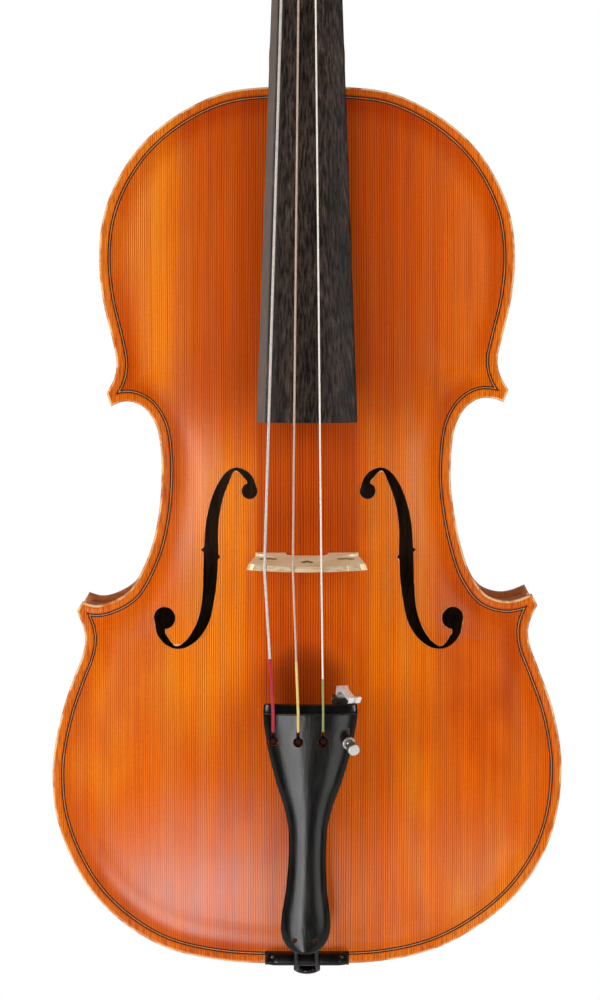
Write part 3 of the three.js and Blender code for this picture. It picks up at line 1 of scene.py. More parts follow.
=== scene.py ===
"""A viola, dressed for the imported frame. Lengths are in millimetres until a mesh is made."""
import json
import math
import bmesh
import bpy
import numpy as np
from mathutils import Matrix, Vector
from mathutils.bvhtree import BVHTree


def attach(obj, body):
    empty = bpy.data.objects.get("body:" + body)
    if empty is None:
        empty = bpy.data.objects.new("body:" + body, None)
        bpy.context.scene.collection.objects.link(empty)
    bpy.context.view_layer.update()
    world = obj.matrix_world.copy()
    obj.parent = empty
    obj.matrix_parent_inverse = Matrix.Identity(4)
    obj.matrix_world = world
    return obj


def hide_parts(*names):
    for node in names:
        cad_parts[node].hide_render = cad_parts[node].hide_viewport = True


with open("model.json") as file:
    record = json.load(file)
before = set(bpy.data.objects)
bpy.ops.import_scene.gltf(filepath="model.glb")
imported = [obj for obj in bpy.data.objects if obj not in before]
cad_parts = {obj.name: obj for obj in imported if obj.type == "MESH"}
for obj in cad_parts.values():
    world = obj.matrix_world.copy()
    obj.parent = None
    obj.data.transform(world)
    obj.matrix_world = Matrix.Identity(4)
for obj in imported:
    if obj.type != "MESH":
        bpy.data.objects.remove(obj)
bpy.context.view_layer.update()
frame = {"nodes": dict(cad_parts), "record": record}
nodes = frame["nodes"]
MM = 0.001
MERGE = 2e-6

# ---------------------------------------------------------------- sizes, as in the part's source
BODY_LENGTH = 406
LOWER_BOUT = 235
HALF_RIB = 19
RIB_THICKNESS = 1.2
OVERHANG = 2.8
EDGE_THICKNESS = 4.2
PLATE_THICKNESS = 3
TOP_ARCH = 18
BACK_ARCH = 17
BODY_BOTTOM = 9.5
BODY_TOP = 415.5
NUT_BOTTOM = 565.5
OVERSTAND = 7.7
NECK_DROP = 18.4
NECK_LENGTH = 150
BOARD_LENGTH = 304.3
BOARD_EDGE = 5
BOARD_RADIUS = 42
BOARD_AT_NUT = 25
BOARD_AT_END = 45.4
BRIDGE_TAIL = 196.5036
CROWN_HEIGHT = 75.5
TOP_EDGE = -(HALF_RIB + EDGE_THICKNESS)
STRING_NAMES = ["c", "g", "d", "a"]
SIDES = {"bass": -1, "treble": 1}
BODY_MIDDLE = BODY_BOTTOM + BODY_LENGTH / 2
NUT_GAP = 17.2 / 3
BRIDGE_GAP = 37.8 / 3
TAIL_GAP = 11.2
TAIL_SHIFT = 1.6


def mix(a, b, share):
    return a + (b - a) * share


def clamp(value, low, high):
    return max(low, min(high, value))


def spread(start, end, steps):
    """Even values from a start to an end, both among them."""
    return [mix(start, end, k / steps) for k in range(steps + 1)]


def angles(steps):
    """Even angles once round."""
    return [2 * math.pi * k / steps for k in range(steps)]


def round_outline(radius, x, z, steps):
    return [(x + radius * math.cos(a), z + radius * math.sin(a)) for a in angles(steps)]


def spline(rows, key, column=1):
    """A smooth curve through rows of (key, value, ...), with no overshoot past the rows' ends."""
    keys = [row[0] for row in rows]
    values = [row[column] for row in rows]
    if key <= keys[0]:
        return values[0]
    if key >= keys[-1]:
        return values[-1]
    i = next(k for k in range(len(keys) - 1) if keys[k + 1] >= key)
    span = keys[i + 1] - keys[i]
    rise = (values[i + 1] - values[i]) / span

    def slope(k):
        if k <= 0 or k >= len(keys) - 1:
            return rise
        left = (values[k] - values[k - 1]) / (keys[k] - keys[k - 1])
        right = (values[k + 1] - values[k]) / (keys[k + 1] - keys[k])
        return 0 if left * right <= 0 else 2 * left * right / (left + right)

    t = (key - keys[i]) / span
    a, b = slope(i) * span, slope(i + 1) * span
    return (values[i] * (2 * t ** 3 - 3 * t ** 2 + 1) + a * (t ** 3 - 2 * t ** 2 + t)
            + values[i + 1] * (3 * t ** 2 - 2 * t ** 3) + b * (t ** 3 - t ** 2))


# ---------------------------------------------------------------- meshes
def mesh_piece(name, verts, faces, materials, sharp=38, face_slots=None):
    """A mesh object from millimetres, smooth but for edges sharper than an angle in degrees."""
    mesh = bpy.data.meshes.new(name)
    mesh.from_pydata([(x * MM, y * MM, z * MM) for x, y, z in verts], [], faces)
    for material in materials:
        mesh.materials.append(material)
    if face_slots is not None:
        mesh.polygons.foreach_set("material_index", face_slots)
    return placed(name, mesh, sharp)


def linked(name, data):
    thing = bpy.data.objects.new(name, data)
    bpy.context.scene.collection.objects.link(thing)
    return thing


def placed(name, mesh, sharp):
    """The mesh as an object, with doubled points merged and its faces turned outwards."""
    work = bmesh.new()
    work.from_mesh(mesh)
    bmesh.ops.remove_doubles(work, verts=work.verts, dist=MERGE)
    bmesh.ops.dissolve_degenerate(work, edges=work.edges, dist=MERGE)
    bmesh.ops.recalc_face_normals(work, faces=work.faces)
    work.to_mesh(mesh)
    work.free()
    mesh.shade_smooth()
    mesh.set_sharp_from_angle(angle=math.radians(sharp))
    return linked(name, mesh)


def ring_faces(rings, count, closed_loop=False):
    """Four-sided faces between rings of points; a closed loop joins the last ring to the first."""
    faces = []
    for r in range(rings if closed_loop else rings - 1):
        n = (r + 1) % rings
        for i in range(count):
            j = (i + 1) % count
            faces.append((r * count + i, r * count + j, n * count + j, n * count + i))
    return faces


def lofted(name, rings, materials, sharp=38, slots=None):
    """A skin through rings with the same count of points, closed at both ends."""
    count = len(rings[0])
    verts = [point for ring in rings for point in ring]
    faces = ring_faces(len(rings), count)
    picks = [slots(r, i) for r in range(len(rings) - 1) for i in range(count)] if slots else None
    faces += [tuple(range(count)), tuple(range(len(verts) - count, len(verts)))]
    if picks:
        picks += [picks[0], picks[-1]]
    return mesh_piece(name, verts, faces, materials, sharp, picks)


def turned(name, profile, axis, place, materials, steps=48, sharp=38, ripple=None):
    """A profile of (radius, height) turned about an axis through a place."""
    axis = Vector(axis).normalized()
    side = axis.orthogonal().normalized()
    other = axis.cross(side)
    rings = []
    for k, (radius, height) in enumerate(profile):
        ring = []
        for i, angle in enumerate(angles(steps)):
            r = radius + (ripple(k, i) if ripple else 0)
            ring.append(Vector(place) + axis * height
                        + (side * math.cos(angle) + other * math.sin(angle)) * r)
        rings.append(ring)
    return lofted(name, rings, materials, sharp)


def rounded(profile, radius, steps=4):
    """A polyline of (a, b) with its inner corners rounded off."""
    points = [Vector(p) for p in profile]
    out = [profile[0]]
    for before, here, after in zip(points, points[1:], points[2:]):
        back, on = before - here, after - here
        cut = min(radius, back.length * 0.45, on.length * 0.45)
        start, end = here + back.normalized() * cut, here + on.normalized() * cut
        for k in range(steps + 1):
            t = k / steps
            out.append(tuple(start * (1 - t) ** 2 + here * (2 * t * (1 - t)) + end * t ** 2))
    out.append(profile[-1])
    return out


def smooth_line(points, steps):
    """A centripetal Catmull-Rom curve through points, with steps to each stretch."""
    pts = [Vector(p) for p in points]
    out = []
    for i in range(len(pts) - 1):
        p1, p2 = pts[i], pts[i + 1]
        p0 = pts[i - 1] if i > 0 else p1 * 2 - p2
        p3 = pts[i + 2] if i + 2 < len(pts) else p2 * 2 - p1
        d0, d1, d2 = [max((b - a).length, 1e-9) ** 0.5 for a, b in ((p0, p1), (p1, p2), (p2, p3))]
        m1 = ((p1 - p0) / d0 - (p2 - p0) / (d0 + d1) + (p2 - p1) / d1) * d1
        m2 = ((p2 - p1) / d1 - (p3 - p1) / (d1 + d2) + (p3 - p2) / d2) * d1
        for k in range(steps):
            t = k / steps
            out.append(p1 * (2 * t ** 3 - 3 * t ** 2 + 1) + m1 * (t ** 3 - 2 * t ** 2 + t)
                       + p2 * (3 * t ** 2 - 2 * t ** 3) + m2 * (t ** 3 - t ** 2))
    out.append(pts[-1])
    return out


def evenly(points, count):
    """Points at even distances along a polyline."""
    array = np.array([tuple(p) for p in points])
    route = np.concatenate([[0], np.cumsum(np.linalg.norm(np.diff(array, axis=0), axis=1))])
    marks = np.linspace(0, route[-1], count + 1)
    return np.stack([np.interp(marks, route, array[:, k]) for k in range(array.shape[1])], 1)


def tube(name, points, radius, materials, sides=16, sharp=50, slots=None):
    """A round tube along points; radius is a number or one for each point."""
    pts = [Vector(p) for p in points]
    radii = radius if isinstance(radius, list) else [radius] * len(pts)
    rings = []
    side = None
    for i, here in enumerate(pts):
        along = (pts[min(i + 1, len(pts) - 1)] - pts[max(i - 1, 0)]).normalized()
        side = along.orthogonal() if side is None else side - along * side.dot(along)
        side.normalize()
        other = along.cross(side)
        rings.append([here + (side * math.cos(a) + other * math.sin(a)) * radii[i]
                      for a in angles(sides)])
    return lofted(name, rings, materials, sharp, slots=slots)


def joined(name, *pieces):
    """Several pieces made into one."""
    work = bmesh.new()
    materials = []
    for piece in pieces:
        start = len(work.faces)
        work.from_mesh(piece.data)
        work.faces.ensure_lookup_table()
        own = list(piece.data.materials)
        for face in work.faces[start:]:
            material = own[face.material_index] if own else None
            if material not in materials:
                materials.append(material)
            face.material_index = materials.index(material)
    mesh = bpy.data.meshes.new(name)
    for material in materials:
        mesh.materials.append(material)
    work.to_mesh(mesh)
    work.free()
    for piece in pieces:
        bpy.data.objects.remove(piece)
    return linked(name, mesh)


def carved(piece, *cutters, operation="DIFFERENCE", sharp=38):
    """The piece with its cutters taken away from it, or added to it."""
    group = bpy.data.collections.new("cutters")
    bpy.context.scene.collection.children.link(group)
    for cutter in cutters:
        bpy.context.scene.collection.objects.unlink(cutter)
        group.objects.link(cutter)
    change = piece.modifiers.new("carve", "BOOLEAN")
    change.operation = operation
    change.operand_type = "COLLECTION"
    change.collection = group
    change.solver = "EXACT"
    change.material_mode = "TRANSFER"
    bpy.context.view_layer.update()
    shaped = bpy.data.meshes.new_from_object(
        piece.evaluated_get(bpy.context.evaluated_depsgraph_get()))
    piece.modifiers.clear()
    piece.data = shaped
    for cutter in cutters:
        bpy.data.objects.remove(cutter)
    bpy.data.collections.remove(group)
    shaped.shade_smooth()
    shaped.set_sharp_from_angle(angle=math.radians(sharp))
    return piece


def fitted(piece, body, slot, *replaced):
    """Says what a finished piece rides on and stands for; the slot argument is not used."""
    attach(piece, body)
    if replaced:
        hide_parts(*replaced)
    return piece


# ---------------------------------------------------------------- materials
WHITE = (1, 1, 1)
WOOD_RELIEF = 0.0003
METAL_RELIEF = 0.0001
RINGS_A_MM = 0.86
RING_GROWTH = 0.0014
WAVES_A_PITCH = 0.314
LATE_WOOD = [(0.0, (1.1, 1.2, 1.1)), (0.4, (1.08, 1.14, 1.0)), (0.58, (0.9, 0.76, 0.6)),
             (0.74, (0.54, 0.25, 0.15)), (0.9, (0.48, 0.2, 0.12)), (1.0, (0.98, 0.95, 0.9))]


def add(tree, kind, values=None, **settings):
    """A shader node with its settings and inputs; an input is a value or another node's output."""
    node = tree.nodes.new(kind)
    for key, value in settings.items():
        setattr(node, key, value)
    for key, value in (values or {}).items():
        if isinstance(value, bpy.types.NodeSocket):
            tree.links.new(value, node.inputs[key])
        else:
            node.inputs[key].default_value = value
    return node


def started(name):
    """A new material with its node tree, its shader and the object's own coordinates."""
    material = bpy.data.materials.new(name)
    material.use_nodes = True
    tree = material.node_tree
    shader = tree.nodes["Principled BSDF"]
    place = add(tree, "ShaderNodeTexCoord").outputs["Object"]
    return material, tree, shader, place


def stretched(tree, place, scale):
    return add(tree, "ShaderNodeMapping", {"Vector": place, "Scale": scale}).outputs["Vector"]


def noise(tree, vector, scale, detail=2, rough=0.5, distortion=0):
    return add(tree, "ShaderNodeTexNoise", {
        "Vector": vector, "Scale": scale, "Detail": detail, "Roughness": rough,
        "Distortion": distortion}).outputs["Fac"]


def ramp(tree, factor, stops, smooth=True):
    node = add(tree, "ShaderNodeValToRGB", {"Fac": factor})
    node.color_ramp.interpolation = "EASE" if smooth else "LINEAR"
    elements = node.color_ramp.elements
    while len(elements) < len(stops):
        elements.new(0.5)
    for element, (at, color) in zip(elements, stops):
        element.position = at
        element.color = (*color, 1)
    return node.outputs["Color"]


def grey_ramp(tree, factor, stops):
    return ramp(tree, factor, [(at, (level,) * 3) for at, level in stops])


def blended(tree, mode, share, first, second):
    return add(tree, "ShaderNodeMix", {0: share, 6: first, 7: second}, data_type="RGBA",
               blend_type=mode).outputs[2]


def maths(tree, operation, *values):
    return add(tree, "ShaderNodeMath", dict(enumerate(values)), operation=operation).outputs[0]


def bumped(tree, shader, height, strength, distance):
    bump = add(tree, "ShaderNodeBump", {"Height": height, "Strength": strength,
                                        "Distance": distance})
    tree.links.new(bump.outputs["Normal"], shader.inputs["Normal"])


def gloss(shader, roughness=None, coat=0, coat_rough=0.1, metal=0, specular=0.5):
    if roughness is not None:
        shader.inputs["Roughness"].default_value = roughness
    shader.inputs["Coat Weight"].default_value = coat
    shader.inputs["Coat Roughness"].default_value = coat_rough
    shader.inputs["Metallic"].default_value = metal
    shader.inputs["Specular IOR Level"].default_value = specular


def edge_distance(tree):
    """How far inside the plate's edge a point of the mesh lies, in millimetres."""
    return add(tree, "ShaderNodeAttribute", attribute_name="edge").outputs["Fac"]


def ramped(tree, value, low, high, start=0.0, end=1.0, smooth=True):
    """A value carried from one span to another and held at its ends."""
    node = add(tree, "ShaderNodeMapRange", {"Value": value, "From Min": low, "From Max": high,
                                            "To Min": start, "To Max": end})
    if smooth:
        node.interpolation_type = "SMOOTHSTEP"
    return node.outputs["Result"]


def between(first, second, share):
    return tuple(mix(a, b, share) for a, b in zip(first, second))


def chained(tree, operation, *values):
    """One operation carried on from the left over several values."""
    whole = values[0]
    for value in values[1:]:
        whole = maths(tree, operation, whole, value)
    return whole


def times(tree, *values):
    return chained(tree, "MULTIPLY", *values)


def plus(tree, *values):
    return chained(tree, "ADD", *values)


def band(tree, value, rise, fall, low=0.0, high=1.0):
    """A mask that climbs over one span of a value and falls off over another."""
    return times(tree, ramped(tree, value, *rise, low, high), ramped(tree, value, *fall, 1.0, 0.0))


def streaky(tree, place, scale, detail=2, rough=0.5, distortion=0):
    """Noise with a scale of its own along each axis."""
    return noise(tree, stretched(tree, place, scale), 1, detail, rough, distortion)


def darkened(tree, share, color, source, low, tone, high):
    """A colour multiplied by a tone where a source is low."""
    return blended(tree, "MULTIPLY", share, color, ramp(tree, source, [(low, tone), (high, WHITE)]))


def dressed(tree, shader, color, source, levels, relief, strength, depth=WOOD_RELIEF, **shine):
    """Links a colour, a roughness in levels of a source and a relief, and sets the shine."""
    tree.links.new(color, shader.inputs["Base Color"])
    tree.links.new(grey_ramp(tree, source, levels), shader.inputs["Roughness"])
    bumped(tree, shader, relief, strength, depth)
    gloss(shader, **shine)


def grain_lines(tree, place, axis):
    """Year rings cut lengthwise: the share across one ring, and a number of its own for each."""
    across = times(tree, maths(tree, "ABSOLUTE", axis.outputs["X"]), 1000.0)
    sway = streaky(tree, place, (14, 10, 5))
    shiver = streaky(tree, place, (260, 40, 16), 1)
    phase = plus(tree, times(tree, across, RINGS_A_MM), times(tree, across, across, RING_GROWTH),
                 times(tree, sway, 2.6), times(tree, shiver, 0.75))
    pick = add(tree, "ShaderNodeTexWhiteNoise", {"W": maths(tree, "FLOOR", phase)},
               noise_dimensions="1D").outputs["Value"]
    return maths(tree, "FRACT", phase), pick


def spot(tree, axis, x, z, across, along):
    """1 in the middle of an oval on the front, falling to 0 at its edge."""
    aside = maths(tree, "DIVIDE", maths(tree, "SUBTRACT", axis.outputs["X"], x), across)
    above = maths(tree, "DIVIDE", maths(tree, "SUBTRACT", axis.outputs["Z"], z), along)
    away = plus(tree, times(tree, aside, aside), times(tree, above, above))
    return ramped(tree, away, 0.0, 1.0, 1.0, 0.0)


def spruce_varnish(tree, axis, patches, streaks):
    """Amber varnish, redder by the board, with a painted sheen on the bass upper bout, a painted
    highlight at the waist, painted shade in a strip from below the bridge to the board's end and a
    painted shadow above the tailpiece; in metres.
    """
    east, height = axis.outputs["X"], axis.outputs["Z"]
    middle = maths(tree, "ABSOLUTE", east)
    varnish = ramp(tree, patches, [(0.3, SPRUCE_RED), (0.5, SPRUCE_ORANGE), (0.72, SPRUCE_GOLD)])
    near = times(tree, ramped(tree, middle, 0.04, 0.085, 1.0, 0.0),
                 ramped(tree, height, 0.23, 0.29, 0.12, 0.88))
    redder = blended(tree, "MIX", near, varnish, (*SPRUCE_RED, 1))
    # Painted sheen: the bass upper bout turns golden where the light from the left would fall on
    # it.
    painted_sheen_band = times(tree, band(tree, east, (-0.086, -0.07), (-0.068, -0.052)),
                      ramped(tree, height, 0.24, 0.3, 0.0, 0.75))
    # Painted highlight: golden bands either side of the middle at the waist.
    waist = times(tree, band(tree, middle, (0.024, 0.032), (0.05, 0.066)),
                  ramped(tree, height, 0.11, 0.16), ramped(tree, height, 0.22, 0.275, 0.6, 0.0))
    golden = blended(tree, "MIX", maths(tree, "MAXIMUM", painted_sheen_band, waist), redder,
                     (*SPRUCE_GOLD, 1))
    # Painted shade: a darker band as wide as the board, from below the bridge up to the board's
    # end.
    reach = times(tree, ramped(tree, height, 0.16, 0.21, 0.0, 0.66),
                  ramped(tree, height, 0.262, 0.27, 1.0, 0.0))
    strip = times(tree, ramped(tree, middle, 0.0212, 0.0244, 1.0, 0.0), reach)
    shaded = blended(tree, "MIX", strip, golden, (*SPRUCE_DARK, 1))
    # Painted shadow: a dark oval on the middle just above the tailpiece's top end.
    painted_shadow = maths(tree, "SUBTRACT", spot(tree, axis, 0.0, 0.137, 0.03, 0.032),
                  times(tree, streaks, 0.3))
    return blended(tree, "MIX", ramped(tree, painted_shadow, 0.1, 0.9, 0.0, 0.66), shaded,
                   (*SPRUCE_PAINTED_SHADOW, 1))


def spruce_edge(tree, place, axis, color):
    """The plate's rim, bead and flute, by the distance inside its edge in millimetres."""
    middle, height = maths(tree, "ABSOLUTE", axis.outputs["X"]), axis.outputs["Z"]
    distance = edge_distance(tree)
    bead = band(tree, distance, (0.5, 1.2), (2.9, 3.8))
    beaded = blended(tree, "MIX", times(tree, bead, 0.35), color, (*SPRUCE_BEAD, 1))
    hatched = darkened(tree, times(tree, bead, 0.6), beaded,
                       streaky(tree, place, (1500, 300, 90), 1), 0.38, (0.5, 0.26, 0.14), 0.52)
    pale = times(tree, band(tree, distance, (0.0, 0.1), (0.55, 1.15), 0.5),
                 ramped(tree, noise(tree, place, 120, 3, 0.6), 0.36, 0.56, 0.12, 0.88))
    beside = times(tree, ramped(tree, middle, 0.023, 0.03, 1.0, 0.0),
                   ramped(tree, height, 0.016, 0.02, 0.8, 0.0))
    pale = maths(tree, "SUBTRACT", pale, times(tree, pale, beside))
    edged = blended(tree, "MIX", pale, hatched, (*SPRUCE_WORN, 1))
    scoop = times(tree, band(tree, distance, (5.2, 5.7), (6.5, 17.0)),
                  ramped(tree, height, 0.19, 0.3, 0.3, 0.8))
    flute = band(tree, distance, (3.2, 3.9), (4.4, 5.2), 0.0, 0.5)
    return blended(tree, "MULTIPLY", plus(tree, scoop, flute), edged, (*SPRUCE_HOLLOW, 1))


def spruce_top():
    """Straight fine grain along Z under an amber varnish that is redder and darker in places, with
    painted sheen, highlight, shade and shadow.
    """
    material, tree, shader, place = started("spruce_top")
    axis = add(tree, "ShaderNodeSeparateXYZ", {"Vector": place})
    ring, pick = grain_lines(tree, place, axis)
    fine = streaky(tree, place, (1500, 90, 14), 2, 0.6)
    streaks = streaky(tree, place, (150, 20, 3.4), 2, 0.55)
    rays = streaky(tree, place, (900, 200, 900), 2, 0.6)
    patches = streaky(tree, place, (17, 10, 9), 3, 0.55)
    streaked = darkened(tree, 0.5, spruce_varnish(tree, axis, patches, streaks), streaks,
                        0.36, (0.86, 0.72, 0.6), 0.6)
    late = ramp(tree, ring, LATE_WOOD, smooth=False)
    lined = blended(tree, "MULTIPLY", ramped(tree, pick, 0.0, 1.0, 0.66, 1.0, False), streaked,
                    late)
    threads = darkened(tree, 0.42, lined, fine, 0.36, (0.74, 0.58, 0.46), 0.56)
    flecked = darkened(tree, 0.22, threads, rays, 0.36, (0.78, 0.66, 0.6), 0.56)
    polish = chained(tree, "MAXIMUM", spot(tree, axis, -0.036, 0.045, 0.085, 0.06),
                     times(tree, spot(tree, axis, 0.052, 0.045, 0.07, 0.05), 0.55),
                     times(tree, spot(tree, axis, -0.057, 0.236, 0.022, 0.06), 0.7))
    relief = plus(tree, times(tree, ring, 0.5), times(tree, fine, 0.6))
    dressed(tree, shader, spruce_edge(tree, place, axis, flecked), patches,
            [(0.3, 0.31), (0.7, 0.39)], relief, 0.12, coat=0.1, coat_rough=0.2)
    tree.links.new(ramped(tree, polish, 0.0, 1.0, 0.12, 0.54, False),
                   shader.inputs["Specular IOR Level"])
    return material


def maple(name, light, dark, flame_scale, depth=0.55, coat=0.5):
    """Maple with flames across the grain and short dark flecks, under varnish."""
    material, tree, shader, place = started(name)
    wave = streaky(tree, place, flame_scale, 1.5, 0.45, 0.6)
    flecks = streaky(tree, place, (1500, 1500, 130), 2, 0.6)
    broad = noise(tree, place, 18, 2, 0.5)
    base = ramp(tree, wave, [(0.34, dark), (0.52, between(dark, light, 0.55)), (0.66, light)])
    shaded = darkened(tree, depth, base, broad, 0.3, (0.68, 0.56, 0.5), 0.65)
    flecked = darkened(tree, 0.5, shaded, flecks, 0.32, (0.6, 0.48, 0.42), 0.5)
    dressed(tree, shader, flecked, broad, [(0.3, 0.28), (0.7, 0.4)], flecks, 0.08, coat=coat,
            coat_rough=0.14)
    return material


def ebony(name, base, streak, along, roughness, coat, painted_sheen_side=False, specular=0.5):
    """Near-black wood with fine pores and browner streaks along it."""
    material, tree, shader, place = started(name)
    lines = streaky(tree, place, along, 3, 0.6, 0.2)
    pores = streaky(tree, place, tuple(3.2 * s for s in along), 2, 0.6)
    broad = streaky(tree, place, tuple(0.13 * s for s in along))
    color = ramp(tree, lines, [(0.4, base), (0.54, between(base, streak, 0.4)), (0.72, streak)])
    toned = blended(tree, "MULTIPLY", 0.7, color,
                    ramp(tree, broad, [(0.35, (0.45, 0.42, 0.4)), (0.65, (1.15, 1.1, 1.05))]))
    # Painted reflection: the flat on the board's bass side is made lighter, standing for the light
    # from the left mirrored in it.
    if painted_sheen_side:
        axis = add(tree, "ShaderNodeSeparateXYZ", {"Vector": place})
        aside = plus(tree, axis.outputs["X"], 0.0183,
                     times(tree, maths(tree, "SUBTRACT", axis.outputs["Z"], 0.275), -0.0297))
        toned = blended(tree, "MIX", ramped(tree, aside, -0.0008, 0.0004, 0.55, 0.0), toned,
                        (*EBONY_PAINTED_SHEEN, 1))
    dressed(tree, shader, toned, lines, [(0.3, roughness[0]), (0.7, roughness[1])], pores, 0.12,
            coat=coat, coat_rough=0.12, specular=specular)
    return material


def pale_wood(name, light, dark, along=(700, 700, 40), coat=0.0, roughness=0.55):
    """Bare pale wood with a fine straight grain."""
    material, tree, shader, place = started(name)
    grain = streaky(tree, place, along, 3, 0.55)
    broad = noise(tree, place, 60, 2, 0.5)
    color = ramp(tree, grain, [(0.34, dark), (0.6, light)])
    toned = darkened(tree, 0.4, color, broad, 0.3, (0.8, 0.74, 0.66), 0.65)
    dressed(tree, shader, toned, broad, [(0.3, roughness - 0.08), (0.7, roughness + 0.1)], grain,
            0.12, coat=coat)
    return material


def metal(name, color, roughness, tarnish=(0.7, 0.66, 0.6), scale=220, metallic=1):
    """Plated metal with faint wear."""
    material, tree, shader, place = started(name)
    wear = noise(tree, place, scale, 3, 0.6)
    marked = darkened(tree, 0.55, (*color, 1), wear, 0.3, tarnish, 0.55)
    dressed(tree, shader, marked, wear, [(0.3, roughness + 0.14), (0.65, roughness)], wear, 0.04,
            METAL_RELIEF, metal=metallic)
    return material


def wound(name, color, dark, pitch, roughness, metallic, fuzz=0.0):
    """Thread or flat wire wound round a core along Z, seen as fine rings across it."""
    material, tree, shader, place = started(name)
    rings = add(tree, "ShaderNodeTexWave", {
        "Vector": place, "Scale": WAVES_A_PITCH / (pitch * MM), "Distortion": 0.4, "Detail": 1,
        "Detail Scale": 2}, wave_type="BANDS", bands_direction="Z").outputs["Fac"]
    mottle = noise(tree, place, 700, 2, 0.5)
    toned = darkened(tree, 0.5, ramp(tree, rings, [(0.15, dark), (0.6, color)]), mottle,
                     0.3, (0.72, 0.7, 0.66), 0.6)
    dressed(tree, shader, toned, mottle, [(0.3, roughness), (0.7, roughness + 0.12)], rings, 0.2,
            METAL_RELIEF, metal=metallic)
    shader.inputs["Sheen Weight"].default_value = fuzz
    return material


SPRUCE_GOLD = (0.82, 0.232, 0.003)
SPRUCE_ORANGE = (0.71, 0.137, 0.0015)
SPRUCE_RED = (0.52, 0.076, 0.001)
# The colour of the painted shade in the band below the board's end.
SPRUCE_DARK = (0.4, 0.04, 0.0008)
# The colour of the painted shadow above the tailpiece.
SPRUCE_PAINTED_SHADOW = (0.16, 0.02, 0.001)
SPRUCE_BEAD = (0.72, 0.19, 0.012)
SPRUCE_WORN = (0.9, 0.6, 0.3)
SPRUCE_HOLLOW = (0.76, 0.52, 0.4)
SPRUCE = spruce_top()
BACK_MAPLE = maple("maple_back", (0.62, 0.2, 0.042), (0.34, 0.085, 0.02), (20, 60, 150))
RIB_MAPLE = maple("maple_ribs", (0.56, 0.17, 0.04), (0.3, 0.07, 0.02), (170, 22, 170))
NECK_MAPLE = maple("maple_head", (0.56, 0.18, 0.042), (0.3, 0.075, 0.02), (40, 40, 190))
HANDLE_MAPLE = maple("maple_handle", (0.66, 0.42, 0.2), (0.48, 0.27, 0.11), (40, 40, 190),
                     depth=0.3, coat=0.1)
# The colour of the painted reflection on the board's bass flat.
EBONY_PAINTED_SHEEN = (0.2, 0.155, 0.13)
BOARD_EBONY = ebony("ebony_board", (0.007, 0.0045, 0.0036), (0.085, 0.055, 0.042), (1150, 1150, 16),
                    (0.42, 0.55), 0.03, True, 0.25)
BLACK_EBONY = ebony("ebony_black", (0.003, 0.0028, 0.0026), (0.009, 0.007, 0.006), (300, 300, 40),
                    (0.17, 0.25), coat=0.06, specular=0.27)
PEG_EBONY = ebony("ebony_pegs", (0.012, 0.01, 0.009), (0.07, 0.04, 0.026), (60, 420, 420),
                  (0.28, 0.4), coat=0.25)
INNER = pale_wood("inner_spruce", (0.72, 0.52, 0.3), (0.52, 0.34, 0.17))
INNER_SIDE = pale_wood("hole_edge", (0.2, 0.055, 0.02), (0.09, 0.022, 0.01))
PLATE_INSIDE = pale_wood("plate_inside", (0.3, 0.17, 0.08), (0.2, 0.1, 0.045))
BRIDGE_MAPLE = pale_wood("bridge_maple", (0.99, 0.88, 0.58), (0.9, 0.72, 0.42), (90, 700, 1500),
                         coat=0.05)
# Painted shade: dark walls for the bridge's heart and kidneys.
BRIDGE_HOLE_PAINTED_SHADE = pale_wood("bridge_hole_painted_shade", (0.26, 0.15, 0.07), (0.14, 0.08, 0.035))
BRIDGE_CROWN = pale_wood("bridge_crown", (0.6, 0.45, 0.27), (0.41, 0.29, 0.17), (90, 700, 1500))
KEY_INSIDE = pale_wood("key_hole", (0.06, 0.006, 0.005), (0.02, 0.003, 0.003))
# Thread of the knots, also the painted shade for the strings' ends inside the tailpiece's slots.
KNOT_THREAD_AND_SLOT_SHADE = wound("knot_thread_and_slot_shade", (0.05, 0.006, 0.006), (0.016, 0.003, 0.003), 0.5, 0.8, 0.0)
BLACK_PLY = ebony("purfling_black", (0.004, 0.0015, 0.001), (0.012, 0.004, 0.002), (300, 300, 300),
                  (0.6, 0.8), 0.0)
TAN_PLY = pale_wood("purfling_tan", (0.62, 0.19, 0.025), (0.45, 0.13, 0.015), coat=0.1,
                    roughness=0.4)
NICKEL = metal("nickel", (0.74, 0.71, 0.65), 0.38, (0.8, 0.77, 0.72))
LEVER_STEEL = metal("lever_steel", (0.86, 0.85, 0.83), 0.4, (0.5, 0.48, 0.45), 500, 0.25)
# Painted shade: dark steel for the tuner's frame, which lies in shade under the tailpiece.
FRAME_STEEL_PAINTED_SHADE = metal("frame_steel_painted_shade", (0.13, 0.125, 0.12), 0.4)
CORD = wound("tail_cord", (0.014, 0.014, 0.014), (0.004, 0.004, 0.004), 0.9, 0.4, 0.0)

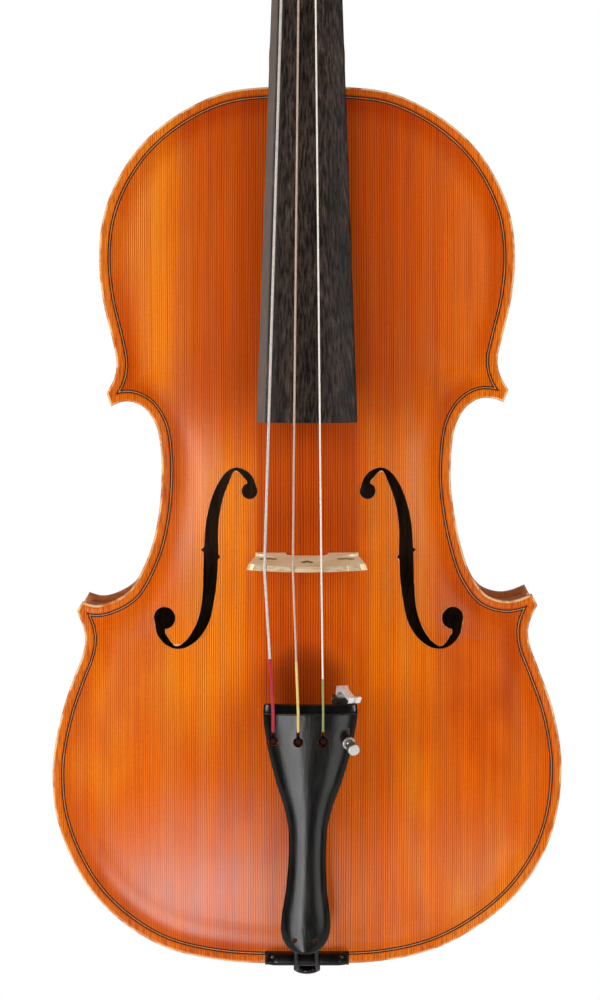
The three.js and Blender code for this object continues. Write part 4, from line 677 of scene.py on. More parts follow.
# ---------------------------------------------------------------- body outline
# Shares of half the lower bout's width and of the body's length, from the top down one side.
UPPER_START = [(0, 1), (0.31, 0.992), (0.469, 0.973), (0.6, 0.946), (0.686, 0.919),
               (0.761, 0.882), (0.802, 0.846), (0.816, 0.801), (0.8, 0.755), (0.763, 0.71)]
OUTLINE = {
    "bass": {
        "upper": UPPER_START + [(0.747, 0.683), (0.756, 0.667), (0.787, 0.65)],
        "centre": [(0.768, 0.635), (0.728, 0.64), (0.686, 0.64), (0.641, 0.634), (0.616, 0.626),
                   (0.588, 0.61), (0.572, 0.578), (0.572, 0.546), (0.584, 0.51), (0.612, 0.474),
                   (0.667, 0.438), (0.703, 0.424), (0.777, 0.412), (0.832, 0.409), (0.882, 0.413)],
        "lower": [(0.904, 0.402), (0.886, 0.39), (0.871, 0.374), (0.878, 0.356), (0.914, 0.328),
                  (0.957, 0.292), (0.992, 0.246), (1, 0.219), (0.988, 0.174), (0.937, 0.128),
                  (0.847, 0.083), (0.722, 0.047), (0.557, 0.019), (0.33, 0.004), (0, 0)],
    },
    "treble": {
        "upper": UPPER_START + [(0.747, 0.686), (0.76, 0.669), (0.791, 0.654)],
        "centre": [(0.771, 0.64), (0.729, 0.644), (0.678, 0.644), (0.635, 0.637), (0.608, 0.628),
                   (0.58, 0.61), (0.565, 0.574), (0.565, 0.546), (0.58, 0.51), (0.602, 0.48),
                   (0.641, 0.446), (0.704, 0.421), (0.778, 0.414), (0.83, 0.416), (0.882, 0.422)],
        "lower": [(0.905, 0.409), (0.885, 0.398), (0.869, 0.383), (0.874, 0.365), (0.91, 0.337),
                  (0.965, 0.292), (0.996, 0.246), (1, 0.219), (0.984, 0.174), (0.933, 0.128),
                  (0.831, 0.083), (0.69, 0.047), (0.514, 0.019), (0.3, 0.004), (0, 0)],
    },
}
BOUTS = {"upper": 60, "centre": 72, "lower": 78}


def outline_curve(side, bout):
    """One bout's edge as (x, z), in even steps."""
    points = [(SIDES[side] * x * LOWER_BOUT / 2, 0, BODY_BOTTOM + z * BODY_LENGTH)
              for x, z in OUTLINE[side][bout]]
    return evenly(smooth_line(points, 24), BOUTS[bout])[:, [0, 2]]


EDGES = {side: [outline_curve(side, bout) for bout in BOUTS] for side in SIDES}


def offset_curve(points, distance, sign):
    """A curve moved inwards; past an end on the centre line it goes on as its mirror image."""
    def beyond(end, other):
        return np.array([-other[0], other[1]]) if abs(end[0]) < 1e-9 else end

    before = np.vstack([beyond(points[0], points[1]), points[:-1]])
    after = np.vstack([points[1:], beyond(points[-1], points[-2])])
    step = after - before
    length = np.hypot(step[:, 0], step[:, 1])[:, None]
    return points + distance * sign * np.stack([step[:, 1], -step[:, 0]], 1) / length


def mitre(first, second):
    """Where two neighbouring inward curves meet at their corner."""
    a, b = first[:-1, None], first[1:, None]
    c, d = second[None, :-1], second[None, 1:]
    u, v, w = b - a, d - c, c - a
    det = u[..., 0] * v[..., 1] - u[..., 1] * v[..., 0]
    det = np.where(det == 0, 1e-12, det)
    s = (w[..., 0] * v[..., 1] - w[..., 1] * v[..., 0]) / det
    t = (w[..., 0] * u[..., 1] - w[..., 1] * u[..., 0]) / det
    hits = np.argwhere((s >= 0) & (s <= 1) & (t >= 0) & (t <= 1))
    if not len(hits):
        return None
    i, j = max(hits.tolist(), key=lambda hit: (hit[0], -hit[1]))
    return i, j, first[i] + (first[i + 1] - first[i]) * s[i, j]


def gathered(points, depth, distance):
    """A curve whose end stops short of a corner's blunt end, its last points gathered there."""
    i = len(points) - 1
    while i > 0 and depth[i] < distance:
        i -= 1
    if i == len(points) - 1:
        return points
    share = (distance - depth[i + 1]) / (depth[i] - depth[i + 1])
    stop = points[i + 1] + (points[i] - points[i + 1]) * share
    out = points.copy()
    out[i + 1:] = stop
    return out


def side_curves(side, distance):
    """The three curves of one side at a distance inside the edge, met or cut at the corners."""
    sign = SIDES[side]
    edges = EDGES[side]
    curves = [offset_curve(edge, distance, sign) for edge in edges]
    for k in range(2):
        start, end = edges[k][-1], edges[k + 1][0]
        width = np.hypot(*(end - start))

        def depth_of(p):
            return sign * ((p[..., 0] - start[0]) * (end[1] - start[1])
                           - (p[..., 1] - start[1]) * (end[0] - start[0])) / width

        meet = mitre(curves[k], curves[k + 1])
        if meet and depth_of(meet[2]) >= distance:
            i, j, point = meet
            curves[k][i + 1:] = point
            curves[k + 1][:j + 1] = point
        elif distance > 0:
            curves[k] = gathered(curves[k], depth_of(curves[k]), distance)
            other = curves[k + 1][::-1].copy()
            curves[k + 1] = gathered(other, depth_of(other), distance)[::-1]
    return curves


def body_ring(distance):
    """The whole outline at a distance inside the edge."""
    treble = np.vstack(side_curves("treble", distance))
    bass = np.vstack(side_curves("bass", distance))[::-1]
    return np.vstack([treble[:-1], bass[:-1]])


def evened(ring, rounds):
    """A closed ring with each point drawn towards its neighbours, some rounds over."""
    for _ in range(rounds):
        ring = ring * 0.5 + (np.roll(ring, 1, axis=0) + np.roll(ring, -1, axis=0)) * 0.25
    return ring


# ---------------------------------------------------------------- plates
SPINE_MARGIN = 58
SPINE_REACH = BODY_LENGTH / 2 - SPINE_MARGIN
LONG_ARCH_SHARE = 0.32
SHOULDER_INSET = 18
SHOULDER_ROUNDS = 34
INSIDE = 30
LEVEL_WINDOW = 19
# Rows of distance inside the edge and height above the gluing face, from the rib out and over.
EDGE_PROFILE = [(2.6, 0), (1.0, 0), (0.45, 0.2), (0.12, 0.62), (0.0, 1.15), (0.0, 2.1), (0.0, 2.9),
                (0.1, 3.4), (0.32, 3.82), (0.7, 4.1), (1.2, 4.2), (1.7, 4.18), (2.3, 4.06),
                (3.0, 3.88), (3.6, 3.75), (4.1, 3.68), (4.8, 3.6), (5.6, 3.52)]
# Further in, with one height where the arch starts gently and one where it starts steeply.
FLUTE_PROFILE = [(7, 3.36, 3.4), (8.4, 3.3, 3.42), (9.8, 3.36, 3.62), (11.4, 3.56, 4.05),
                 (13.2, 3.92, 4.7), (15.4, 4.5, 5.6), (18, 5.3, 6.7)]
ARCH_STEPS = [0.035, 0.07, 0.11, 0.16, 0.21, 0.27, 0.33, 0.4, 0.48, 0.56, 0.64, 0.72, 0.8, 0.88,
              0.94, 1]
SHOULDER = evened(body_ring(SHOULDER_INSET), SHOULDER_ROUNDS)
COUNT = len(SHOULDER)


def spine_height(arch, z):
    return arch * (1 - LONG_ARCH_SHARE * ((z - BODY_MIDDLE) / SPINE_REACH) ** 2)


def spine_places():
    """Where on the centre line the arch of each shoulder point starts."""
    level = (SHOULDER[:, 1] + np.roll(SHOULDER[::-1, 1], 1)) / 2
    window = LEVEL_WINDOW
    padded = np.concatenate([level[-window:], level, level[:window]])
    means = np.convolve(padded, np.ones(2 * window + 1) / (2 * window + 1), "valid")
    return np.clip(means, BODY_BOTTOM + SPINE_MARGIN, BODY_TOP - SPINE_MARGIN)


SPINE = spine_places()


def plate_rings(front, arch):
    """Rings of (points, distance inside the edge): under the inside out to the edge, then back
    over the outside, with the number of rings inside."""
    rings = []

    def take(points, heights, distance):
        heights = np.broadcast_to(heights, len(points))
        rings.append((np.stack([points[:, 0], front * (HALF_RIB + heights), points[:, 1]], 1),
                      distance))

    target = np.stack([np.zeros(COUNT), SPINE], 1)
    crest = np.array([spine_height(arch, z) for z in SPINE])
    _, gentle, steep = FLUTE_PROFILE[-1]
    run = np.hypot(*(target - SHOULDER).T)
    slope = 2 * (crest - gentle) / run
    steepness = evened(np.clip((slope - 0.25) / 0.19, 0, 1), 24)
    shoulder = gentle + (steep - gentle) * steepness
    # Beyond the ends of the spine the arch falls on as steeply as the spine does.
    fall = 2 * arch * LONG_ARCH_SHARE * np.abs(SPINE - BODY_MIDDLE) / SPINE_REACH ** 2
    ease = np.clip(fall * np.abs(SHOULDER[:, 1] - SPINE) / (crest - shoulder), 0, 0.9)

    def arched(step, lower, distance):
        rise = 1 - ease * (1 - step) - (1 - ease) * (1 - step) ** 2
        heights = shoulder + (crest - shoulder) * rise - lower
        take(SHOULDER + (target - SHOULDER) * step, heights, distance)

    for step in (1, 0.9, 0.76, 0.6, 0.44, 0.3, 0.16):
        arched(step, PLATE_THICKNESS, INSIDE)
    take(SHOULDER, shoulder - PLATE_THICKNESS, INSIDE)
    for distance in (9.5, 4.5):
        take(body_ring(distance), 0, INSIDE)
    inside = len(rings)
    for distance, height in EDGE_PROFILE:
        take(body_ring(distance), height, distance)
    for distance, gentle, steep in FLUTE_PROFILE[:-1]:
        inwards = (distance - EDGE_PROFILE[-1][0]) / (SHOULDER_INSET - EDGE_PROFILE[-1][0])
        smooth = evened(body_ring(distance), int(SHOULDER_ROUNDS * inwards ** 1.5))
        take(smooth, gentle + (steep - gentle) * steepness, distance)
    take(SHOULDER, shoulder, SHOULDER_INSET)
    for step in ARCH_STEPS:
        arched(step, 0, SHOULDER_INSET + 40 * step)
    return rings, inside


def plate(name, front, arch, outside_material):
    """An arched plate; its points carry their distance inside the edge for the material."""
    rings, inside = plate_rings(front, arch)
    verts = np.vstack([points for points, _ in rings])
    faces = ring_faces(len(rings), COUNT)
    slots = [1 if i // COUNT < inside - 1 else 0 for i in range(len(faces))]
    distances = np.repeat([distance for _, distance in rings], COUNT)
    mesh = bpy.data.meshes.new(name)
    mesh.from_pydata((verts * MM).tolist(), [], faces)
    mesh.materials.append(outside_material)
    mesh.materials.append(PLATE_INSIDE)
    mesh.polygons.foreach_set("material_index", slots)
    mesh.attributes.new("edge", "FLOAT", "POINT").data.foreach_set("value", distances)
    return placed(name, mesh, 40)


SOUND_HOLE_LENGTH = 83.3
SOUND_HOLE_MIDDLE = BRIDGE_TAIL + 1.6
SOUND_HOLE_ACROSS = {"bass": -43.9, "treble": 45.4}
# The f-hole's outline in shares of its length from the middle of its stem, then the numbers of
# its sharp points, and its eyes' centres and radii.
SOUND_HOLE = [
    (-0.25, 0.396), (-0.231, 0.446), (-0.193, 0.484), (-0.134, 0.499), (-0.083, 0.473),
    (-0.033, 0.402), (0.006, 0.303), (0.031, 0.187), (0.04, 0.058), (0.058, 0.043), (0.042, 0.029),
    (0.05, -0.22), (0.066, -0.314), (0.099, -0.396), (0.143, -0.457), (0.195, -0.486),
    (0.254, -0.416), (0.259, -0.335), (0.316, -0.352), (0.297, -0.429), (0.253, -0.479),
    (0.198, -0.501), (0.132, -0.49), (0.066, -0.44), (0.011, -0.352), (-0.019, -0.22),
    (-0.034, -0.094), (-0.037, -0.008), (-0.052, 0.006), (-0.04, 0.02), (-0.04, 0.187),
    (-0.063, 0.319), (-0.099, 0.418), (-0.134, 0.483), (-0.194, 0.429), (-0.212, 0.371)]
SOUND_HOLE_CORNERS = [0, 8, 9, 10, 16, 17, 18, 27, 28, 29, 34, 35]
SOUND_HOLE_EYES = [(-0.212, 0.371, 0.044), (0.259, -0.335, 0.06)]


def prism(name, outline, y0, y1, materials):
    """A flat outline of (x, z), extruded along Y."""
    return lofted(name, [[(x, y, z) for x, z in outline] for y in (y0, y1)], materials, 30)


def sound_hole(side):
    """Cutters for one f-hole: its body and its two round eyes."""
    sign = SIDES[side]

    def place(u, v):
        return (SOUND_HOLE_ACROSS[side] + sign * u * SOUND_HOLE_LENGTH,
                SOUND_HOLE_MIDDLE + v * SOUND_HOLE_LENGTH)

    line = []
    marks = SOUND_HOLE_CORNERS
    for start, end in zip(marks, marks[1:]):
        part = [(u, v, 0) for u, v in SOUND_HOLE[start:end + 1]]
        line += smooth_line(part, 5 if len(part) > 2 else 1)[:-1]
    outline = [place(p[0], p[1]) for p in line] + [place(*SOUND_HOLE[35])]
    cutters = [prism("hole", outline, -46, -15, [INNER_SIDE])]
    for u, v, r in SOUND_HOLE_EYES:
        x, z = place(u, v)
        circle = round_outline(r * SOUND_HOLE_LENGTH, x, z, 48)
        cutters.append(prism("eye", circle, -46.5, -14.5, [INNER_SIDE]))
    return cutters


SADDLE_HALF = 38.7 / 2
SADDLE_DEPTH = 6.2


def box_outline(x0, z0, x1, z1):
    return [(x0, z0), (x1, z0), (x1, z1), (x0, z1)]


top_plate = plate("top_plate_carved", -1, TOP_ARCH, SPRUCE)
notch = prism("notch", box_outline(-SADDLE_HALF - 0.05, 5, SADDLE_HALF + 0.05,
                                   BODY_BOTTOM + SADDLE_DEPTH + 0.05), -30, -15, [INNER_SIDE])
carved(top_plate, *sound_hole("bass"), *sound_hole("treble"), notch, sharp=40)
fitted(top_plate, "instrument", "spruce_top", "top_plate")
top_tree = BVHTree.FromObject(top_plate, bpy.context.evaluated_depsgraph_get())


def top_surface(x, z):
    """The height along Y of the top plate's outside, in millimetres."""
    hit = top_tree.ray_cast(Vector((x * MM, -0.2, z * MM)), Vector((0, 1, 0)))[0]
    return hit.y / MM if hit else TOP_EDGE


back_plate = plate("back_plate_carved", 1, BACK_ARCH, BACK_MAPLE)
BUTTON_HALF = 11
BUTTON_HEIGHT = 14


def button_rings():
    """The half-round tongue of the back that covers the neck's heel."""
    rings = []
    for inset, y in ((0.7, HALF_RIB + 0.02), (0, HALF_RIB + 0.8), (0, HALF_RIB + 3.1),
                     (0.3, HALF_RIB + 3.8), (0.95, HALF_RIB + 4.15)):
        ring = []
        for k in range(33):
            angle = math.pi * k / 32
            ring.append(((BUTTON_HALF - inset) * math.cos(angle), y,
                         BODY_TOP - 1 + (BUTTON_HEIGHT + 1 - inset) * math.sin(angle)))
        ring += [(-(BUTTON_HALF - inset), y, BODY_TOP - 5), (BUTTON_HALF - inset, y, BODY_TOP - 5)]
        rings.append(ring)
    return rings


button = lofted("button", button_rings(), [BACK_MAPLE], 45)
carved(back_plate, button, operation="UNION", sharp=40)
fitted(back_plate, "instrument", "maple_body", "back_plate")


# ---------------------------------------------------------------- ribs and purfling
def stretch(points, start, end):
    """The part of a curve from one distance along it to another short of its end."""
    route = np.concatenate([[0], np.cumsum(np.hypot(*np.diff(points, axis=0).T))])
    marks = np.linspace(start, route[-1] - end, 70)
    return np.stack([np.interp(marks, route, points[:, k]) for k in (0, 1)], 1)


RIB_TOP = HALF_RIB - 0.02
for side in SIDES:
    outer = side_curves(side, OVERHANG)
    inner = side_curves(side, OVERHANG + RIB_THICKNESS)
    for k, bout in enumerate(BOUTS):
        gaps = (0 if bout == "upper" else 0.05, 0 if bout == "lower" else 0.05)
        rows = zip(stretch(outer[k], *gaps), stretch(inner[k], *gaps))
        rings = [[(a[0], y, a[1]) for y in (-RIB_TOP, -6, 6, RIB_TOP)]
                 + [(b[0], y, b[1]) for y in (RIB_TOP, 6, -6, -RIB_TOP)] for a, b in rows]
        rib = lofted(f"{bout}_rib_{side}_bent", rings, [RIB_MAPLE], 35)
        fitted(rib, "instrument", "maple_body", f"{bout}_rib_{side}")

# Each ply's two distances inside the edge, and whether it is the pale one.
PLIES = [(3.98, 4.54, 0), (4.54, 4.96, 1), (4.96, 5.52, 0)]
PLY_LIFT = 0.03
PLY_DEPTH = 0.8
CREST_ROW = 10


def flank_height(distance):
    """The plate's height where the purfling lies."""
    rows = EDGE_PROFILE[CREST_ROW:] + [row[:2] for row in FLUTE_PROFILE[:2]]
    return float(np.interp(distance, *zip(*rows)))


def purfling_pieces(front, side, clear_top, clear_bottom):
    """Three narrow strips let in round one side of a plate: black, pale, black."""
    pieces = []
    for near, far, ply in PLIES:
        strips = [np.vstack(side_curves(side, d)) for d in (near, far)]
        low = [front * (HALF_RIB + flank_height(d) - PLY_DEPTH) for d in (near, far)]
        high = [front * (HALF_RIB + flank_height(d) + PLY_LIFT) for d in (near, far)]
        rings = []
        for a, b in zip(*strips):
            limit = clear_top if a[1] > BODY_MIDDLE else clear_bottom
            if abs(a[0]) < limit - 2.5:
                continue
            if abs(a[0]) < limit:
                a = (math.copysign(limit, a[0]), a[1])
                b = (math.copysign(limit, b[0]), b[1])
            rings.append([(a[0], low[0], a[1]), (a[0], high[0], a[1]),
                          (b[0], high[1], b[1]), (b[0], low[1], b[1])])
        pieces.append(lofted("ply", rings, [TAN_PLY if ply else BLACK_PLY], 30))
    return pieces


for side in SIDES:
    inlay = joined(f"top_purfling_{side}_inlaid", *purfling_pieces(-1, side, 15, SADDLE_HALF + 0.1))
    fitted(inlay, "instrument", "purfling", f"top_purfling_{side}")
back_inlay = joined("back_purfling_inlaid", *purfling_pieces(1, "bass", 0, 0),
                    *purfling_pieces(1, "treble", 0, 0))
fitted(back_inlay, "instrument", "purfling", "back_purfling")


# ---------------------------------------------------------------- fingerboard, nut and neck
def board_under(z):
    return TOP_EDGE - OVERSTAND + NECK_DROP * (z - BODY_TOP) / NECK_LENGTH


def board_half(z):
    return mix(BOARD_AT_NUT, BOARD_AT_END, (NUT_BOTTOM - z) / BOARD_LENGTH) / 2


def round_drop(radius, x):
    """How far a round crown has fallen at a distance from its middle."""
    return radius - math.sqrt(radius ** 2 - x ** 2)


def board_top(z):
    return board_under(z) - BOARD_EDGE - round_drop(BOARD_RADIUS, board_half(z))


BOARD_END = NUT_BOTTOM - BOARD_LENGTH
BOARD_HOLLOW = 3.4
HOLLOW_TOP = 407.5
BOARD_FLAT = 6.5
BOARD_FLAT_LENGTH = 240


def board_ring(z, inset=0.0):
    """A cross-section of the board, flat on the bass side and hollow underneath."""
    half = board_half(z) - inset
    share = max(0, 1 - (z - BOARD_END) / BOARD_FLAT_LENGTH)
    under, crown = board_under(z), board_top(z) + inset
    hollow = BOARD_HOLLOW * clamp((HOLLOW_TOP - z) / 14, 0, 1)
    line = [(-half, under - BOARD_EDGE + 1.1 * share)]
    start = BOARD_FLAT * share - half
    line += [(x, crown + round_drop(BOARD_RADIUS, x))
             for x in spread(start + 0.02, half, 26)]
    line.append((half, under - 0.3 - inset))
    line = rounded(line, 0.45, 3)
    for k in range(13):
        across = 1 - 2 * k / 12
        line.append((across * (half - 0.3), under - inset - hollow * (1 - across ** 2)))
    return [(x, y, z) for x, y in line]


board_places = ([BOARD_END, BOARD_END + 0.35] + spread(BOARD_END + 6, 393, 12)
                + [396, 400, 404, 408] + spread(415, 564.9, 12) + [565.2])
board = lofted("fingerboard_planed",
               [board_ring(z, 0.35 if i == 0 else 0) for i, z in enumerate(board_places)],
               [BOARD_EBONY], 30)
fitted(board, "instrument", "ebony", "fingerboard")

NUT_WIDTH = 5.5
NUT_TOP = board_top(NUT_BOTTOM) - 0.9
NUT_BACK = board_under(NUT_BOTTOM) + 0.3
NUT_HALF = 12.5
STRING_RADII = {"c": 0.65, "g": 0.5, "d": 0.42}


def string_across(name, gap, middle=0.0):
    return middle + (STRING_NAMES.index(name) - 1.5) * gap


def nut_ring(share):
    """A cross-section of the nut, with a notch for each string."""
    z = NUT_BOTTOM + NUT_WIDTH * share
    lower = spline([(0, 0.25), (0.08, 0), (0.5, 0), (0.8, 0.7), (0.95, 1.6), (1, 2.3)], share)
    line = []
    for x in spread(NUT_HALF, -NUT_HALF, 100):
        y = NUT_TOP + round_drop(BOARD_RADIUS, x) + lower
        for name in STRING_NAMES:
            away = abs(x - string_across(name, NUT_GAP))
            radius = STRING_RADII.get(name, 0.36) + 0.12
            if away < radius:
                notch_depth = math.sqrt(radius ** 2 - away ** 2) * 0.8
                y = max(y, NUT_TOP + round_drop(BOARD_RADIUS, x) + notch_depth)
        line.append((x, y))
    corner = NUT_TOP + round_drop(BOARD_RADIUS, 12.4) + lower + 0.4
    line = [(NUT_HALF, corner)] + line[1:-1]
    line += [(-NUT_HALF, corner), (-NUT_HALF, NUT_BACK - 0.3), (NUT_HALF, NUT_BACK - 0.3)]
    return [(x, y, z) for x, y in line]


nut = lofted("nut_notched", [nut_ring(s) for s in
                             (0, 0.05, 0.2, 0.4, 0.55, 0.7, 0.8, 0.88, 0.95, 1)], [BLACK_EBONY], 35)
fitted(nut, "instrument", "ebony", "nut")

LOW_HANDLE = board_top(463.5) + 21.6
HIGH_HANDLE = board_top(NUT_BOTTOM) + 20
# Rows of place along Z, half width in front, half width behind, back's place and squareness.
NECK_ROWS = [
    (409.5, 17.4, 11, 18.7, 0.12), (417.1, 17.4, 11, 18.7, 0.12), (423.5, 17.4, 8.6, 18.7, 0.2),
    (428.3, 17.4, 6.0, 17.3, 0.35), (433.1, 17.05, 5.8, 11.6, 0.5), (439.5, 16.7, 7.7, 2.8, 0.65),
    (449.1, 16.36, 11, -6.9, 0.8), (463.5, 15.66, 14.4, LOW_HANDLE, 0.9),
    (549.5, 12.69, 12.2, HIGH_HANDLE, 1), (565.5, 12.2, 12.2, HIGH_HANDLE + 1.6, 0.9),
    (571, 12.2, 12.2, HIGH_HANDLE + 5.5, 0.8)]


def neck_ring(z):
    half_front, half_back, back, roundness = [spline(NECK_ROWS, z, k) for k in (1, 2, 3, 4)]
    front = board_under(z) + 0.3
    ring = []
    for k in range(49):
        angle = math.pi * k / 48
        c, s = math.cos(angle), math.sin(angle)
        depth = abs(s) ** roundness if k not in (0, 48) else 0
        across = math.copysign(abs(c) ** roundness, c)
        ring.append((mix(half_front, half_back, depth) * across, mix(front, back, depth), z))
    return ring


neck_places = ([409.5, 413, 417, 420] + spread(422, 452, 15) + spread(456, 548, 14)
               + [553, 558, 562, 565.5, 568, 571])
handle = lofted("handle", [neck_ring(z) for z in neck_places], [NECK_MAPLE, HANDLE_MAPLE], 50,
                slots=lambda r, i: 1 if 446 < neck_places[r] < 556 else 0)

HEAD_LENGTH = 112
HEAD_DEPTH = 34
# The head's front and back by shares of its length, and its half width in millimetres.
FRONT_SHARES = [(0.02, 0.1), (0.052, 0.03), (0.1, -0.07), (0.18, 0.0), (0.36, 0.175), (0.54, 0.35),
                (0.66, 0.475), (0.72, 0.58), (0.78, 0.74)]
BACK_SHARES = [(0.02, 0.5), (0.03, 0.56), (0.09, 0.74), (0.16, 0.84), (0.3, 0.91), (0.5, 0.965),
               (0.7, 1.005), (0.78, 1.0)]
HALF_SHARES = [(0.02, 12.2), (0.035, 13.0), (0.055, 13.8), (0.09, 14.0), (0.3, 11.9), (0.62, 9.4),
               (0.7, 9.15), (0.78, 9.2)]
CAVITY_END = 0.62
FLUTE_STEPS = (0.8, 0.72, 0.62, 0.5, 0.38, 0.27, 0.17, 0.08)
WALL = 5.2
FLOOR = 5.5


def fluted(t, half):
    """How deep the flutes on the head's back are, at a share of its half width."""
    depth = 0.1 * half + 0.35
    return depth * math.sin(math.pi * min(t / 0.9, 1)) ** 1.4


def pegbox_ring(u, open_share):
    """A cross-section of the head, closed or with the pegbox open in front."""
    z = NUT_BOTTOM + u * HEAD_LENGTH
    front = NUT_BACK + spline(FRONT_SHARES, u) * HEAD_DEPTH
    back = NUT_BACK + spline(BACK_SHARES, u) * HEAD_DEPTH
    half = spline(HALF_SHARES, u)
    inner = half - WALL
    floor = mix(front + 0.02, back - FLOOR, open_share)
    side = [(inner, front + 0.5), (inner + 0.5, front), (half - 0.7, front), (half, front + 0.7)]
    side += [(half, mix(front + 0.7, back - 3.2, k / 4)) for k in range(1, 5)]
    side += [(half - 0.35, back - 1.9), (half - 1.2, back - 0.7)]
    side += [(half * t, back - fluted(t, half)) for t in FLUTE_STEPS]
    mirrored = [(-x, y) for x, y in reversed(side)]
    bed = [(-inner, mix(front + 0.5, floor, 0.5)), (-inner, floor - 1.2 * open_share),
           (-inner + 1.2, floor), (inner - 1.2, floor), (inner, floor - 1.2 * open_share),
           (inner, mix(front + 0.5, floor, 0.5))]
    return [(x, y, z) for x, y in side + [(0, back)] + mirrored + bed]


pegbox_places = ([(u, 0) for u in (0.02, 0.03, 0.045, 0.0645)]
                 + [(u, 1) for u in spread(0.065, CAVITY_END, 26)]
                 + [(u, 0) for u in (0.6205, 0.64, 0.66, 0.68, 0.7, 0.72, 0.74, 0.76, 0.78125)])
pegbox = lofted("pegbox", [pegbox_ring(*place) for place in pegbox_places], [NECK_MAPLE], 40)

SCROLL_RADIUS = 24.5
SCROLL_HALF = 23
RADIUS_SHARES = list(enumerate([0.9, 1, 0.86, 0.7, 0.58, 0.48, 0.4, 0.34, 0.29, 0.25, 0.22]))
WIDTH_SHARES = list(enumerate([0.4, 0.31, 0.33, 0.42, 0.5, 0.58, 0.66, 0.74, 0.82, 0.89, 0.95]))
SCROLL_Y = NUT_BACK + HEAD_DEPTH - SCROLL_RADIUS * 0.9
SCROLL_Z = NUT_BOTTOM + HEAD_LENGTH - SCROLL_RADIUS


def scroll_ring(turn):
    """A cross-section of the scroll after so many quarter turns."""
    radius = SCROLL_RADIUS * spline(RADIUS_SHARES, turn)
    half = SCROLL_HALF * spline(WIDTH_SHARES, turn)
    inside = SCROLL_RADIUS * spline(RADIUS_SHARES, turn + 4) * 0.93 if turn < 6 else 4.0
    inside = min(inside, radius - 1.2)
    bevel = min(1.1, (radius - inside) * 0.3)
    dip = min(1.7, 0.16 * (radius - inside) + 0.4)
    side = []
    for k in range(9):
        t = k / 8
        hollow = dip * (1 - t ** 2.2) * (0.75 + 0.6 * math.sin(math.pi * t))
        side.append((mix(inside, radius - bevel, t), half - hollow))
    side += [(radius - bevel * 0.3, half - bevel * 0.35), (radius, half - bevel)]
    reach = half - bevel
    side += [(radius - fluted(t, half) * clamp(1.4 - turn / 8, 0.5, 1), reach * t / 0.92)
             for t in FLUTE_STEPS]
    line = side + [(radius, 0)] + [(r, -x) for r, x in reversed(side)]
    angle = math.pi / 2 * turn
    return [(x, SCROLL_Y + r * math.cos(angle), SCROLL_Z + r * math.sin(angle)) for r, x in line]


volute = lofted("volute", [scroll_ring(k / 20) for k in range(201)], [NECK_MAPLE], 42)
eye_profile = [(0, -23), (2.0, -22.95), (3.6, -22.6), (4.4, -21.9), (4.6, -21), (4.6, 21),
               (4.4, 21.9), (3.6, 22.6), (2.0, 22.95), (0, 23)]
eye = turned("eye", eye_profile, (1, 0, 0), (0, SCROLL_Y, SCROLL_Z), [NECK_MAPLE], 40, 50)
head = joined("neck_carved", handle, pegbox, volute, eye)
fitted(head, "instrument", "maple_body", "neck")


# ---------------------------------------------------------------- pegs and the strings on them
PEG_SIDES = {"c": -1, "a": 1, "g": -1, "d": 1}
PEG_PLACES = {"c": (-0.184, 585.1), "g": (6.0984, 613.66), "d": (8.9547, 627.66),
              "a": (3.0955, 599.1)}
PEGBOX_HALF = 14.2
PEG_OUT = 12
COLLAR = 3.2
THUMB_WIDTHS = [(0, 2.7), (0.1, 2.9), (0.2, 4.4), (0.34, 8.6), (0.48, 11.7), (0.6, 12.5),
                (0.74, 11.9), (0.86, 9.6), (0.94, 6.4), (0.985, 3.0), (1, 1.2)]
THUMB_DEPTHS = [(0, 2.7), (0.12, 2.9), (0.3, 4.1), (0.5, 4.5), (0.7, 4.0), (0.86, 3.1), (0.95, 2.2),
                (1, 0.9)]


def pegbox_half(z):
    return mix(PEGBOX_HALF, 9.4, (z - NUT_BOTTOM) / (HEAD_LENGTH * CAVITY_END))


def peg_radius(distance):
    return 4.3 + (distance - PEGBOX_HALF) / 30


def thumb(peg_side, near, y, z):
    """A peg's flat thumb piece, hollowed on both faces."""
    start = near + COLLAR - 0.6
    length = 18
    rings = []
    for k in range(29):
        t = k / 28
        wide, deep = spline(THUMB_WIDTHS, t), spline(THUMB_DEPTHS, t)
        waist = 0.34 * clamp((t - 0.15) / 0.3, 0, 1) * clamp((1 - t) / 0.25, 0, 1)
        ring = []
        for angle in angles(40):
            c, s = math.cos(angle), math.sin(angle)
            hollow = 1 - waist * (1 - abs(c)) ** 0.8
            ring.append((peg_side * (start + t * length), y + deep * s * hollow, z + wide * c))
        rings.append(ring)
    return lofted("thumb", rings, [PEG_EBONY], 60)


for name, peg_side in PEG_SIDES.items():
    y, z = PEG_PLACES[name]
    wall = pegbox_half(z)
    near, far = wall + PEG_OUT, -(wall + 1.2)
    profile = [(0, far), (peg_radius(far) - 0.8, far), (peg_radius(far) - 0.15, far + 0.35),
               (peg_radius(far), far + 0.9), (peg_radius(wall + 4), wall + 4),
               (peg_radius(near) - 0.1, near - 1.2), (peg_radius(near) + 0.5, near - 0.5),
               (5.4, near), (6.1, near + 0.35), (6.4, near + 0.9), (6.1, near + 1.5),
               (5.2, near + 1.75), (5.2, near + 1.95), (5.7, near + 2.2), (5.75, near + 2.6),
               (5.2, near + 3.0), (3.6, near + 3.2), (2.8, near + 3.6), (0, near + 3.8)]
    shank = turned("shank", profile, (peg_side, 0, 0), (0, y, z), [PEG_EBONY], 48, 35)
    peg = joined(f"peg_{name}_turned", shank, thumb(peg_side, near, y, z))
    fitted(peg, f"peg_{name}", "ebony", f"peg_{name}")


# ---------------------------------------------------------------- saddle, end button and tailgut
SADDLE_CREST = TOP_EDGE - 4.3


